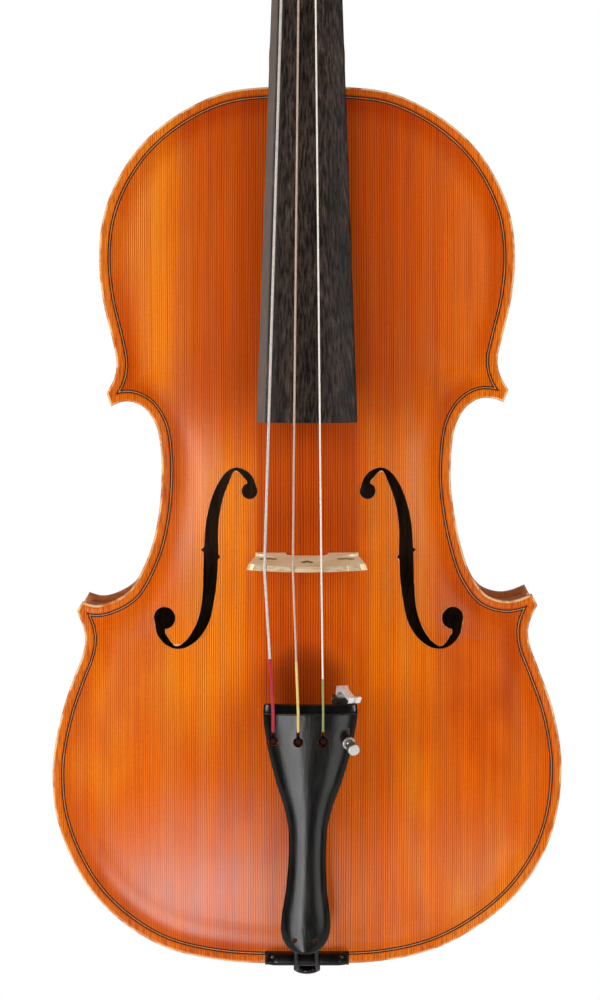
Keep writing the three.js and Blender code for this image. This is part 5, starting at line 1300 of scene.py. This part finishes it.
def saddle_ring(share):
    """A cross-section of the saddle, lower towards its two rounded ends."""
    x = SADDLE_HALF * share
    sunk = 3.9 * clamp((abs(share) - 0.72) / 0.28, 0, 1) ** 2.2
    crest = SADDLE_CREST + sunk
    back = -HALF_RIB - 0.1
    shoulder = min(1.5, (TOP_EDGE - crest) * 0.45 + 0.25)
    line = [(back, BODY_BOTTOM), (TOP_EDGE, BODY_BOTTOM), (crest + shoulder, BODY_BOTTOM + 0.25),
            (crest + shoulder * 0.3, BODY_BOTTOM + 0.85), (crest, BODY_BOTTOM + 2.1),
            (crest, BODY_BOTTOM + SADDLE_DEPTH - 2.1),
            (crest + shoulder * 0.3, BODY_BOTTOM + SADDLE_DEPTH - 0.85),
            (crest + shoulder, BODY_BOTTOM + SADDLE_DEPTH - 0.2),
            (TOP_EDGE + 0.3, BODY_BOTTOM + SADDLE_DEPTH), (back, BODY_BOTTOM + SADDLE_DEPTH)]
    return [(x, y, z) for y, z in rounded(line, 0.8, 4)]


saddle = lofted("saddle_carved", [saddle_ring(k / 24) for k in range(-24, 25)], [BLACK_EBONY], 40)
fitted(saddle, "instrument", "ebony", "saddle")

BUTTON_PROFILE = rounded([
    (0, 0), (2.4, 0.2), (4.6, 0.8), (5.8, 1.5), (6.1, 2.2), (6.1, 3.0), (5.1, 3.6), (4.2, 3.9),
    (4.2, 6.1), (5.2, 6.9), (5.35, 8.4), (5.3, 11.7), (4.0, 12.0), (3.5, 30.0), (0, 30.5)], 0.5, 3)
button_turned = turned("end_button_turned", BUTTON_PROFILE, (0, 0, 1), (0, 0, 0), [BLACK_EBONY],
                       64, 38)
fitted(button_turned, "instrument", "ebony", "end_button")

TAIL_TOP = BRIDGE_TAIL - 61.3
TAIL_BOTTOM = BODY_BOTTOM + 8.3
TAIL_TOP_Y = -CROWN_HEIGHT + 12.3
TAIL_BOTTOM_Y = SADDLE_CREST - 11
TAIL_HALF = 21.2
TAIL_RISE = 5
TAIL_EDGE = 2.6
TAIL_WIDTHS = [(0, 0.98), (0.03, 1), (0.13, 0.935), (0.3, 0.715), (0.42, 0.5), (0.51, 0.41),
               (0.6, 0.4), (0.74, 0.44), (0.85, 0.52), (0.9, 0.535), (0.935, 0.5), (0.965, 0.42),
               (0.985, 0.32), (1, 0.17)]
RIDGE = 0.035
GUT_RADIUS = 0.95
GUT_SPREAD = 4.7
GUT_HOLE_RISE = 6.5
TAIL_FOOT_SHIFT = -0.9


def tail_at(share):
    """The tailpiece's middle, crest, height and half width at a share of its length."""
    return (mix(TAIL_SHIFT, TAIL_FOOT_SHIFT, share), mix(TAIL_TOP_Y, TAIL_BOTTOM_Y, share),
            mix(TAIL_TOP, TAIL_BOTTOM, share), TAIL_HALF * spline(TAIL_WIDTHS, share))


def tail_drop(place, half):
    level = math.sqrt(1 - 0.96 * min(abs(place), 1) ** 2)
    return TAIL_RISE * math.sqrt(half / TAIL_HALF) * (1 - level)


def tail_surface(x, z):
    middle, y, _, half = tail_at((TAIL_TOP - z) / (TAIL_TOP - TAIL_BOTTOM))
    return y + tail_drop((x - middle) / half, half)


KEY_Z = TAIL_TOP - RIDGE * (TAIL_TOP - TAIL_BOTTOM) - 13.2


def tailgut_points():
    over = SADDLE_CREST - GUT_RADIUS - 0.05
    wrap = 4.2 + GUT_RADIUS + 0.05
    groove_z = 5
    hole_x = TAIL_FOOT_SHIFT + GUT_SPREAD
    hole_z = TAIL_BOTTOM + GUT_HOLE_RISE
    under = TAIL_BOTTOM_Y + TAIL_RISE + TAIL_EDGE
    outside = BODY_BOTTOM - GUT_RADIUS - 0.6
    half = [(hole_x, under + 0.95, hole_z), (hole_x, under + 2.2, hole_z - 1.9),
            (mix(hole_x, wrap, 0.4), over, BODY_BOTTOM + SADDLE_DEPTH),
            (mix(hole_x, wrap, 0.6), over, BODY_BOTTOM + 1.96),
            (mix(hole_x, wrap, 0.8), TOP_EDGE - GUT_RADIUS, outside),
            (wrap, (TOP_EDGE - GUT_RADIUS) * 0.72, mix(outside, groove_z, 0.6)),
            (wrap, (TOP_EDGE - GUT_RADIUS) * 0.4, groove_z)]
    other = [(-wrap if x == wrap else x - 2 * GUT_SPREAD, y, z) for x, y, z in half]
    turn = [(wrap * math.cos(a), wrap * math.sin(a), groove_z)
            for a in (math.pi * k / 12 for k in range(13))]
    return smooth_line(half + turn + other[::-1], 6)


tailgut = tube("tailgut_cord", tailgut_points(), GUT_RADIUS, [CORD], 20)
fitted(tailgut, "instrument", "tail_cord", "tailgut")


# ---------------------------------------------------------------- tailpiece
def tail_ring(share, inset=0.0):
    """A cross-section of the tailpiece, arched above and hollow below."""
    middle, y, z, half = tail_at(share)
    half -= inset
    line = []
    for k in range(49):
        place = math.cos(math.pi * k / 48)
        dip = 0.0
        if share < RIDGE:
            dip = 1.3 * (1 - share / RIDGE) ** 0.8
        line.append((middle + place * half, y + tail_drop(place, half) + dip + inset))
    under = y + tail_drop(1, half) + TAIL_EDGE - inset
    for k in range(17):
        place = -1 + k / 8
        lift = 2.6 * half * (1 - place ** 2) / TAIL_HALF
        line.append((middle + place * (half - 0.15), under - lift))
    return [(x, y_, z) for x, y_ in rounded(line, 0.25, 1)]


def cylinder(radius, x, z, y0, y1, material):
    return prism("cutter", round_outline(radius, x, z, 36), y0, y1, [material])


tail_shares = ([0, 0.004, 0.012, 0.022, 0.031, 0.035, 0.042, 0.055, 0.075]
               + spread(0.1, 0.9, 44) + spread(0.912, 0.99, 12) + [0.995, 1])
tailpiece = lofted("tailpiece_shaped",
                   [tail_ring(s, 0.5 if s in (0, 1) else 0) for s in tail_shares],
                   [BLACK_EBONY], 35)
cutters = []
for name in STRING_NAMES:
    x = string_across(name, TAIL_GAP, TAIL_SHIFT)
    slot = [(x - 0.8, KEY_Z), (x + 0.8, KEY_Z), (x + 0.8, KEY_Z + 6.1), (x + 0.45, KEY_Z + 6.55),
            (x - 0.45, KEY_Z + 6.55), (x - 0.8, KEY_Z + 6.1)]
    cutters.append(prism("slot", slot, -75, -46, [KEY_INSIDE]))
    if name in STRING_RADII:
        cutters.append(cylinder(2.3, x, KEY_Z, -75.5, -45.5, KEY_INSIDE))
for edge in (-1, 1):
    cutters.append(cylinder(GUT_RADIUS + 0.25, TAIL_FOOT_SHIFT + edge * GUT_SPREAD,
                            TAIL_BOTTOM + GUT_HOLE_RISE, -50, -20, BLACK_EBONY))
# The tuner's screw points out along its axis; up is towards the bridge, square to it.
TUNER_AXIS = Vector((0.2896277, -0.9194819, -0.265836))
TUNER_UP = Vector((0, 0, 1)) - TUNER_AXIS * TUNER_AXIS.z
TUNER_UP.normalize()
TUNER_ACROSS = TUNER_UP.cross(TUNER_AXIS)
TUNER_BASE = Vector((18.4, -57.1404, 117.8945))
cutters.append(turned("stem_hole", [(0, -14), (2.7, -14), (2.7, 12), (0, 12)], TUNER_AXIS,
                      TUNER_BASE, [BLACK_EBONY], 36))
carved(tailpiece, *cutters, sharp=35)
fitted(tailpiece, "instrument", "ebony", "tailpiece")


def tail_fret_ring(place):
    """A cross-section of the strip that the strings lie on, with a rounded crest."""
    middle, y, z, half = tail_at(RIDGE)
    low = y + tail_drop(place, half) + 0.25
    line = [(low, -0.7), (low - 0.75, -0.66), (low - 1.12, -0.36), (low - 1.25, 0),
            (low - 1.12, 0.36), (low - 0.75, 0.66), (low, 0.7)]
    return [(middle + place * half, y_, z + w) for y_, w in line]


fret = lofted("tailpiece_fret_rounded",
              [tail_fret_ring(math.cos(math.pi * k / 40) * 0.985) for k in range(41)],
              [BLACK_EBONY], 40)
fitted(fret, "instrument", "ebony", "tailpiece_fret")


# ---------------------------------------------------------------- bridge
BRIDGE_HEIGHT = CROWN_HEIGHT - HALF_RIB - TOP_ARCH
BRIDGE_AT_FEET = 4.6
BRIDGE_AT_CROWN = 2.3
BRIDGE_LEAN = 0.7
CROWN_HALF = 27


FOOT_INSIDE = 9.7
FOOT_LENGTH = 13.7
FOOT_OUTSIDE = 23.4
HOLE_SHADE_FACE, CROWN_FACE = 2, 1


def bridge_sole(x):
    """How far below the bridge's base line its foot meets the top plate."""
    return -HALF_RIB - TOP_ARCH - top_surface(x, BRIDGE_TAIL + 2.3)


def curve_part(points, steps):
    """A smooth part of the outline from shares of the crown's half width and of the height."""
    return [(p.x, p.y) for p in smooth_line([(x * CROWN_HALF, h * BRIDGE_HEIGHT, 0)
                                             for x, h in points], steps)]


def crown_line():
    """The bridge's top edge from the treble side to the middle of the bass side."""
    line = []
    for x in spread(CROWN_HALF, -CROWN_HALF, 240):
        h = BRIDGE_HEIGHT - round_drop(BOARD_RADIUS, x)
        for name in STRING_NAMES:
            away = abs(x - string_across(name, BRIDGE_GAP))
            radius = STRING_RADII.get(name, 0.5) + 0.08
            if away < radius:
                h -= 0.75 * math.sqrt(radius ** 2 - away ** 2)
        line.append((x, h))
    return line


def foot_line(start):
    places = [start + FOOT_LENGTH * k / 10 for k in range(11)]
    return [(x, bridge_sole(x)) for x in places]


def bridge_outline():
    right = foot_line(FOOT_INSIDE)
    top_of_foot = bridge_sole(FOOT_OUTSIDE) + 2.6
    right += [(23.55, top_of_foot - 1.2), (23.2, top_of_foot)]
    right += curve_part([(0.8, 0.1), (0.735, 0.115), (0.7, 0.155), (0.68, 0.2), (0.63, 0.23),
                         (0.6, 0.26), (0.63, 0.285), (0.7, 0.28), (0.78, 0.26), (0.85, 0.255),
                         (0.9, 0.275), (0.925, 0.35), (0.945, 0.46), (0.965, 0.58),
                         (0.985, 0.7), (1.0, 0.795)], 5)
    inside = curve_part([(0, 0.2), (0.12, 0.198), (0.22, 0.19), (0.29, 0.172), (0.33, 0.14),
                         (0.345, 0.1), (0.355, 0.055)], 6)
    left = [(-x, h) for x, h in reversed(right)]
    left = [(x, h) for x, h in left if h > top_of_foot + 0.5 or x < -23.3]
    left += foot_line(-FOOT_OUTSIDE)
    arch = [(-x, h) for x, h in reversed(inside)] + inside[1:]
    return arch + right + crown_line() + left


HEART = [(0, 0.54), (0.045, 0.575), (0.085, 0.615), (0.11, 0.66), (0.1, 0.7), (0.068, 0.715),
         (0.03, 0.7), (0.01, 0.675), (0, 0.68)]
KIDNEY = [(0.56, 0.39), (0.64, 0.37), (0.75, 0.38), (0.83, 0.42), (0.82, 0.47), (0.73, 0.49),
          (0.67, 0.47), (0.61, 0.49), (0.53, 0.475), (0.51, 0.43), (0.56, 0.39)]


def bridge_piece():
    """The bridge with its heart and kidneys, thinner towards its crown."""
    heart = curve_part(HEART, 4)
    kidney = curve_part(KIDNEY, 4)[:-1]
    loops = [bridge_outline(), heart + [(-x, h) for x, h in reversed(heart[1:-1])], kidney,
             [(-x, h) for x, h in kidney]]
    flat = bpy.data.curves.new("bridge_flat", "CURVE")
    flat.dimensions = "2D"
    flat.fill_mode = "BOTH"
    flat.extrude = 0.5
    for loop in loops:
        line = flat.splines.new("POLY")
        line.points.add(len(loop) - 1)
        for point, (x, h) in zip(line.points, loop):
            point.co = (x, h, 0, 1)
        line.use_cyclic_u = True
    holder = linked("bridge_flat", flat)
    bpy.context.view_layer.update()
    mesh = bpy.data.meshes.new_from_object(
        holder.evaluated_get(bpy.context.evaluated_depsgraph_get()))
    bpy.data.objects.remove(holder)
    work = bmesh.new()
    work.from_mesh(mesh)
    bmesh.ops.remove_doubles(work, verts=work.verts, dist=1e-4)
    for vert in work.verts:
        x, h, t = vert.co.x, vert.co.y, vert.co.z + 0.5
        level = clamp(h / BRIDGE_HEIGHT, 0, 1)
        x *= 1 - 0.038 * t * clamp((level - 0.1) / 0.2, 0, 1)
        thickness = mix(BRIDGE_AT_FEET, BRIDGE_AT_CROWN, level)
        vert.co = (x * MM, -(HALF_RIB + TOP_ARCH + h) * MM,
                   (BRIDGE_TAIL - BRIDGE_LEAN * level + t * thickness) * MM)
    bmesh.ops.recalc_face_normals(work, faces=work.faces)
    for face in work.faces:
        middle = face.calc_center_median() / MM
        level = (-middle.y - HALF_RIB - TOP_ARCH) / BRIDGE_HEIGHT
        if abs(face.normal.z) < 0.4:
            if level > 0.76 and abs(face.normal.y) > 0.8:
                face.material_index = CROWN_FACE
            # The walls of the heart and kidneys take the painted shade.
            elif 0.36 < level < 0.73 and abs(middle.x) < 23.2:
                face.material_index = HOLE_SHADE_FACE
    mesh.materials.clear()
    for material in (BRIDGE_MAPLE, BRIDGE_CROWN, BRIDGE_HOLE_PAINTED_SHADE):
        mesh.materials.append(material)
    work.to_mesh(mesh)
    work.free()
    return placed("bridge_cut", mesh, 40)


bridge = bridge_piece()
fitted(bridge, "instrument", "maple_bridge", "bridge")


# ---------------------------------------------------------------- strings
SILKS = {name: wound(f"silk_{color}", light, dark, 0.35, 0.7, 0.0, fuzz=0.1)
         for name, color, light, dark in (
             ("c", "red", (0.5, 0.016, 0.045), (0.32, 0.008, 0.02)),
             ("g", "yellow", (0.85, 0.64, 0.2), (0.6, 0.4, 0.08)),
             ("d", "green", (0.36, 0.38, 0.14), (0.14, 0.2, 0.06)))}
SILK_TOPS = {"c": 156.8, "g": 155.7, "d": 147.9}
METALS = {"c": wound("winding_c", (0.8, 0.74, 0.68), (0.55, 0.5, 0.46), 0.3, 0.34, 0.4),
          "g": wound("winding_g", (0.74, 0.55, 0.44), (0.46, 0.34, 0.27), 0.26, 0.34, 0.4),
          "d": wound("winding_d", (0.98, 0.92, 0.83), (0.92, 0.85, 0.76), 0.22, 0.42, 0.2)}
NUT_SILK_START = NUT_BOTTOM + 14
KNOT_PROFILE = [(0, 2.2), (1.3, 2.3), (2.0, 2.9), (2.15, 3.8), (2.1, 6.6), (1.4, 7.2), (0, 7.3)]


def peg_turns(name):
    """A string's turns on its peg: the peg's side, their radius and where along X they lie."""
    radius, peg_side = STRING_RADII[name], PEG_SIDES[name]
    inner = peg_side * (pegbox_half(PEG_PLACES[name][1]) - WALL - radius - 0.6)
    return (peg_side, peg_radius(0) + radius + 0.3, inner,
            inner - peg_side * 3.5 * (2 * radius + 0.5))


def string_points(name):
    """A string's centre line from its peg to the tailpiece, and where its ball end sits."""
    radius = STRING_RADII[name]
    lift = radius + 0.06
    peg_y, peg_z = PEG_PLACES[name]
    at_nut = string_across(name, NUT_GAP)
    at_bridge = string_across(name, BRIDGE_GAP)
    at_tail = string_across(name, TAIL_GAP, TAIL_SHIFT)
    peg_side, turn_radius, _, outer = peg_turns(name)
    end = outer - peg_side * (2 * radius + 0.5)
    over_nut = NUT_TOP + round_drop(BOARD_RADIUS, at_nut) - radius - 0.05
    crown = -CROWN_HEIGHT + round_drop(BOARD_RADIUS, at_bridge) - radius * 0.75
    ridge_z = TAIL_TOP - RIDGE * (TAIL_TOP - TAIL_BOTTOM)
    ridge_y = tail_surface(at_tail, ridge_z) - 1.0 - lift
    slot_top = KEY_Z + 6.6 - radius - 0.1
    under = tail_surface(at_tail, KEY_Z) + TAIL_RISE + TAIL_EDGE
    corners = [(end, peg_y - turn_radius + 0.6, peg_z + 2.5), (end, peg_y - turn_radius, peg_z),
               (mix(at_nut, end, 0.1), over_nut + 1.2, NUT_BOTTOM + NUT_WIDTH),
               (at_nut, over_nut, NUT_BOTTOM + NUT_WIDTH / 2), (at_nut, over_nut, NUT_BOTTOM),
               (at_bridge, crown, BRIDGE_TAIL + 1.6), (at_bridge, crown, BRIDGE_TAIL),
               (at_tail, ridge_y, ridge_z + 0.7), (at_tail, ridge_y + 0.1, ridge_z - 0.7),
               (at_tail, tail_surface(at_tail, slot_top) - lift, slot_top),
               (at_tail, tail_surface(at_tail, slot_top) + 1.0, slot_top - 1.0),
               (at_tail, tail_surface(at_tail, KEY_Z) + TAIL_EDGE, slot_top - 2.4),
               (at_tail, tail_surface(at_tail, KEY_Z) + TAIL_EDGE + 1.5, KEY_Z + 2.2),
               (at_tail, under, KEY_Z)]
    points = [corners[0]]
    for a, b in zip(corners, corners[1:]):
        steps = max(1, int((Vector(b) - Vector(a)).length / 4))
        points += [tuple(Vector(a).lerp(Vector(b), k / steps)) for k in range(1, steps + 1)]
    marks = [SILK_TOPS[name], SILK_TOPS[name] - 0.4, NUT_SILK_START, NUT_SILK_START + 0.4]
    for mark in marks:
        for i, (a, b) in enumerate(zip(points, points[1:])):
            if (a[2] - mark) * (b[2] - mark) < 0:
                share = (mark - a[2]) / (b[2] - a[2])
                points.insert(i + 1, tuple(Vector(a).lerp(Vector(b), share)))
                break
    return points, (at_tail, under)


for name, radius in STRING_RADII.items():
    points, (at_tail, under) = string_points(name)
    silk = [p[2] < SILK_TOPS[name] - 0.2 or p[2] > NUT_SILK_START + 0.2 for p in points]
    radii = [radius + 0.1 if s else radius for s in silk]
    # Points deep in the tailpiece's slot take the dark knot thread as painted shade.
    kinds = [2 if p[2] < KEY_Z + 5.6 else int(s) for p, s in zip(points, silk)]
    line = tube("line", points, radii, [METALS[name], SILKS[name], KNOT_THREAD_AND_SLOT_SHADE], 16, 40,
                slots=lambda r, i, kinds=kinds: min(kinds[r:r + 2]))
    ball = turned("ball", rounded([(0, -1.5), (1.6, -1.5), (1.6, 1.5), (0, 1.5)], 0.5, 3),
                  (1, 0, 0), (at_tail, under + 0.8, KEY_Z), [NICKEL], 32)
    knot = turned("knot", KNOT_PROFILE, (0, 1, 0),
                  (at_tail, tail_surface(at_tail, KEY_Z), KEY_Z), [KNOT_THREAD_AND_SLOT_SHADE], 32, 50)
    string = joined(f"string_{name}_wound", line, ball, knot)
    fitted(string, "instrument", "string_metal", f"string_{name}")

    peg_y, peg_z = PEG_PLACES[name]
    _, turn_radius, inner, outer = peg_turns(name)
    turns = [(mix(outer, inner, k / 168), peg_y - turn_radius * math.cos(2 * math.pi * k / 48),
              peg_z + turn_radius * math.sin(2 * math.pi * k / 48)) for k in range(169)]
    coil = tube(f"string_{name}_coil", turns, radius, [SILKS[name]], 14, 50)
    fitted(coil, f"peg_{name}", "string_metal", f"string_{name}_turns")


# ---------------------------------------------------------------- fine tuner
def tuner_point(across, up, out):
    """A place near the tuner in the screw's own directions."""
    return TUNER_BASE + TUNER_ACROSS * across + TUNER_UP * up + TUNER_AXIS * out


knob_profile = [(0, 5.5), (2.2, 5.5), (2.5, 5.62), (2.75, 5.95), (2.8, 6.2), (2.8, 8.9),
                (2.72, 9.15), (2.5, 9.38), (2.3, 9.45), (2.1, 9.42), (0.9, 9.46), (0, 9.5)]
knob = turned("tuner_knob_knurled", knob_profile, TUNER_AXIS, TUNER_BASE, [NICKEL], 112, 50,
              ripple=lambda k, i: (-0.16 if i % 4 in (0, 1) else 0.0) if k in (4, 5) else 0.0)
fitted(knob, "tuner_knob", "tuner_metal", "tuner_knob")

BAR_TOP = -(TAIL_RISE + TAIL_EDGE + 0.6 + 0.3)
ARM_TOP = BAR_TOP - 1.4 - 3
THREAD_PITCH = 0.25
LEVER_REACH = 15
screw_profile = [(0, ARM_TOP + 0.3), (0.7, ARM_TOP + 0.35), (1.1, ARM_TOP + 0.8)]
thread = int((5.2 - ARM_TOP - 1.2) / THREAD_PITCH)
screw_profile += [(1.2 if k % 2 else 1.04, ARM_TOP + 0.9 + THREAD_PITCH * k)
                  for k in range(thread)]
screw_profile += [(1.2, 4.9), (1.15, 5.2), (0, 5.2)]
screw = turned("tuner_screw_threaded", screw_profile, TUNER_AXIS, TUNER_BASE, [NICKEL], 40, 60)
fitted(screw, "tuner_screw", "tuner_metal", "tuner_screw")

nut_profile = rounded([(1.8, 0.6), (2.85, 0.6), (3.1, 0.9), (3.1, 1.85), (2.85, 2.2), (1.8, 2.2),
                       (1.8, 0.6)], 0.2, 2)
ring = [[TUNER_BASE + TUNER_AXIS * h + (TUNER_ACROSS * math.cos(a) + TUNER_UP * math.sin(a))
         * (r - (0.1 if r > 2.95 and i % 4 < 2 else 0)) for r, h in nut_profile[:-1]]
        for i, a in enumerate(angles(96))]
count = len(ring[0])
tuner_nut = mesh_piece("tuner_nut_ring", [p for r in ring for p in r],
                       ring_faces(96, count, closed_loop=True), [NICKEL], 45)
fitted(tuner_nut, "instrument", "tuner_metal", "tuner_nut")


def lever_piece():
    """The lever: an arm under the tailpiece, a hub on the pin and a forked hook above."""
    arm_bottom = ARM_TOP - 1.6
    foot, start = LEVER_REACH + 2 + 0.6, LEVER_REACH + 4.8
    neck_low, neck_high = ARM_TOP + 4, 0.5
    side = [(-3.5, ARM_TOP), (-3.5, arm_bottom), (LEVER_REACH, arm_bottom - 0.4),
            (start + 1.5, arm_bottom), (start + 1.5, neck_low), (start + 1.5, neck_high),
            (start + 1.5, 1.5), (start + 3.4, 3.0), (start + 3.4, 4.5), (start, 3.0),
            (start, neck_high), (start, neck_low), (start, ARM_TOP + 2.2), (foot - 0.4, ARM_TOP)]
    line = rounded(side + side[:1], 0.55, 4)[1:-1]
    line = [side[0]] + line

    def half_at(v, w):
        if v < start - 0.5 or w < neck_low - 1:
            return 2.7
        return 1.5 if w < neck_high + 0.6 else 2.9

    rings = [[tuner_point(u * half_at(v, w), v, w) for v, w in line] for u in (-1, -0.8, 0.8, 1)]
    body = lofted("lever_body", rings, [LEVER_STEEL], 40)
    cut = lofted("lever_slot", [[tuner_point(x, v, w) for x, v in
                                 ((-0.7, start - 1.5), (0.7, start - 1.5), (0.7, start + 6),
                                  (-0.7, start + 6))] for w in (1.9, 7)], [LEVER_STEEL], 40)
    pin_edge = round_outline(1.1, LEVER_REACH, ARM_TOP - 0.8, 24)
    pin = lofted("pin_hole", [[tuner_point(x, v, w) for v, w in pin_edge] for x in (-4, 4)],
                 [LEVER_STEEL], 40)
    return carved(body, cut, pin, sharp=40)


lever = lever_piece()
lever.name = "tuner_lever_forked"
fitted(lever, "tuner_lever", "tuner_metal", "tuner_lever")


# ---------------------------------------------------------------- carried-over nodes
REPAINT = {"inner_wood": INNER, "maple_body": NECK_MAPLE, "maple_bridge": BRIDGE_MAPLE,
           "ebony": BLACK_EBONY, "purfling": BLACK_PLY, "tail_cord": CORD,
           "string_metal": NICKEL, "tuner_metal": NICKEL, "spruce_top": SPRUCE}
for subpart in frame["record"]["subparts"]:
    node = nodes[subpart["node"]]
    if not node.hide_render:
        for socket in node.material_slots:
            socket.material = REPAINT[subpart["material_slot"]]
            if "corner_block" in subpart["node"]:
                socket.material = RIB_MAPLE
# The tuner's frame takes the painted shade.
for socket in nodes["tuner_frame"].material_slots:
    socket.material = FRAME_STEEL_PAINTED_SHADE


# ---------------------------------------------------------------- stage, light and camera
def floor_material():
    material, tree, shader, place = started("floor_pale")
    cloud = noise(tree, place, 3, 2, 0.5)
    tree.links.new(ramp(tree, cloud, [(0.3, (0.86, 0.86, 0.86)), (0.7, (0.9, 0.9, 0.9))]),
                   shader.inputs["Base Color"])
    gloss(shader, 0.8, specular=0.2)
    return material


FLOOR_HALF = 1150
FLOOR_FRONT = -480
FLOOR_BACK = 1100
FLOOR_LEVEL = -450
floor_corners = [(x, y, FLOOR_LEVEL) for x, y in (
    (-FLOOR_HALF, FLOOR_FRONT), (FLOOR_HALF, FLOOR_FRONT),
    (FLOOR_HALF, FLOOR_BACK), (-FLOOR_HALF, FLOOR_BACK))]
floor = mesh_piece("floor", floor_corners, [(0, 1, 2, 3)], [floor_material()])

ROOM_GLOW = (0.06, 0.06, 0.06)
world = bpy.data.worlds.new("studio")
world.use_nodes = True
sky = world.node_tree
backdrop = sky.nodes["Background"]
seen = add(sky, "ShaderNodeLightPath").outputs["Is Camera Ray"]
sky.links.new(blended(sky, "MIX", seen, (*ROOM_GLOW, 1), (*WHITE, 1)),
              backdrop.inputs["Color"])
backdrop.inputs["Strength"].default_value = 1.0
bpy.context.scene.world = world
bpy.context.scene.view_settings.view_transform = "Standard"


def softbox(name, place, aim, width, height, power, mirrored=True):
    """A rectangular light, never seen itself; one that isn't mirrored only lifts the shadows."""
    light = bpy.data.lights.new(name, "AREA")
    light.shape = "RECTANGLE"
    light.size = width
    light.size_y = height
    light.energy = power
    lamp = linked(name, light)
    lamp.location = place
    lamp.visible_glossy = mirrored
    lamp.visible_camera = False
    lamp.rotation_euler = (Vector(aim) - Vector(place)).to_track_quat("-Z", "Y").to_euler()


# Name, place and aim in metres, width, height, power, and whether the varnish mirrors it.
LIGHTS = [
    ("fill_left", (-1.0, -1.1, 0.5), (0, 0, 0.25), 1.3, 1.3, 8.1, False),
    ("fill_right", (1.0, -1.1, 0.5), (0, 0, 0.25), 1.3, 1.3, 6.1, False),
    ("fill_top", (0, -0.9, 1.3), (0, 0, 0.3), 1.4, 0.9, 4.8, False),
    ("box_left", (-1.13, -0.76, 0.15), (0, 0, 0.22), 0.34, 0.26, 4.2),
    ("box_right", (1.13, -0.76, 0.15), (0, 0, 0.22), 0.34, 0.26, 2.8),
    ("high_left", (-0.95, -0.85, 0.66), (0, 0, 0.3), 0.5, 0.5, 2.0),
    ("high_right", (0.9, -0.95, 0.66), (0, 0, 0.3), 0.5, 0.5, 1.8),
    ("low_middle", (-0.13, -0.95, -0.55), (0, 0, 0.06), 0.07, 0.5, 1.1),
    ("low_left", (-0.3, -0.95, -0.52), (0, 0, 0.06), 0.32, 0.42, 3.0),
    ("low_right", (0.52, -0.97, -0.5), (0, 0, 0.06), 0.35, 0.35, 1.3),
    ("back_top", (0, 1.0, 1.05), (0, 0, 0.3), 2.2, 0.9, 5.0),
    ("back_left", (-1.25, 0.9, 0.3), (0, 0, 0.25), 0.8, 1.5, 3.2),
    ("back_right", (1.25, 0.9, 0.3), (0, 0, 0.25), 0.8, 1.5, 3.2)]
for row in LIGHTS:
    softbox(*row)

CAMERA_LENS = 100.488
CAMERA_SHIFT = -0.16
CAMERA_PLACE = (-0.001247, -1.308322, 0.313476)
CAMERA_DIP = 0.0120834
CAMERA_TURN = 0.0015310
camera_data = bpy.data.cameras.new("camera")
camera_data.sensor_width = 36
camera_data.lens = CAMERA_LENS
camera_data.shift_y = CAMERA_SHIFT
camera = linked("camera", camera_data)
camera.location = CAMERA_PLACE
camera.rotation_euler = (math.pi / 2 - CAMERA_DIP, 0, CAMERA_TURN)
bpy.context.scene.camera = camera

bpy.context.view_layer.update()
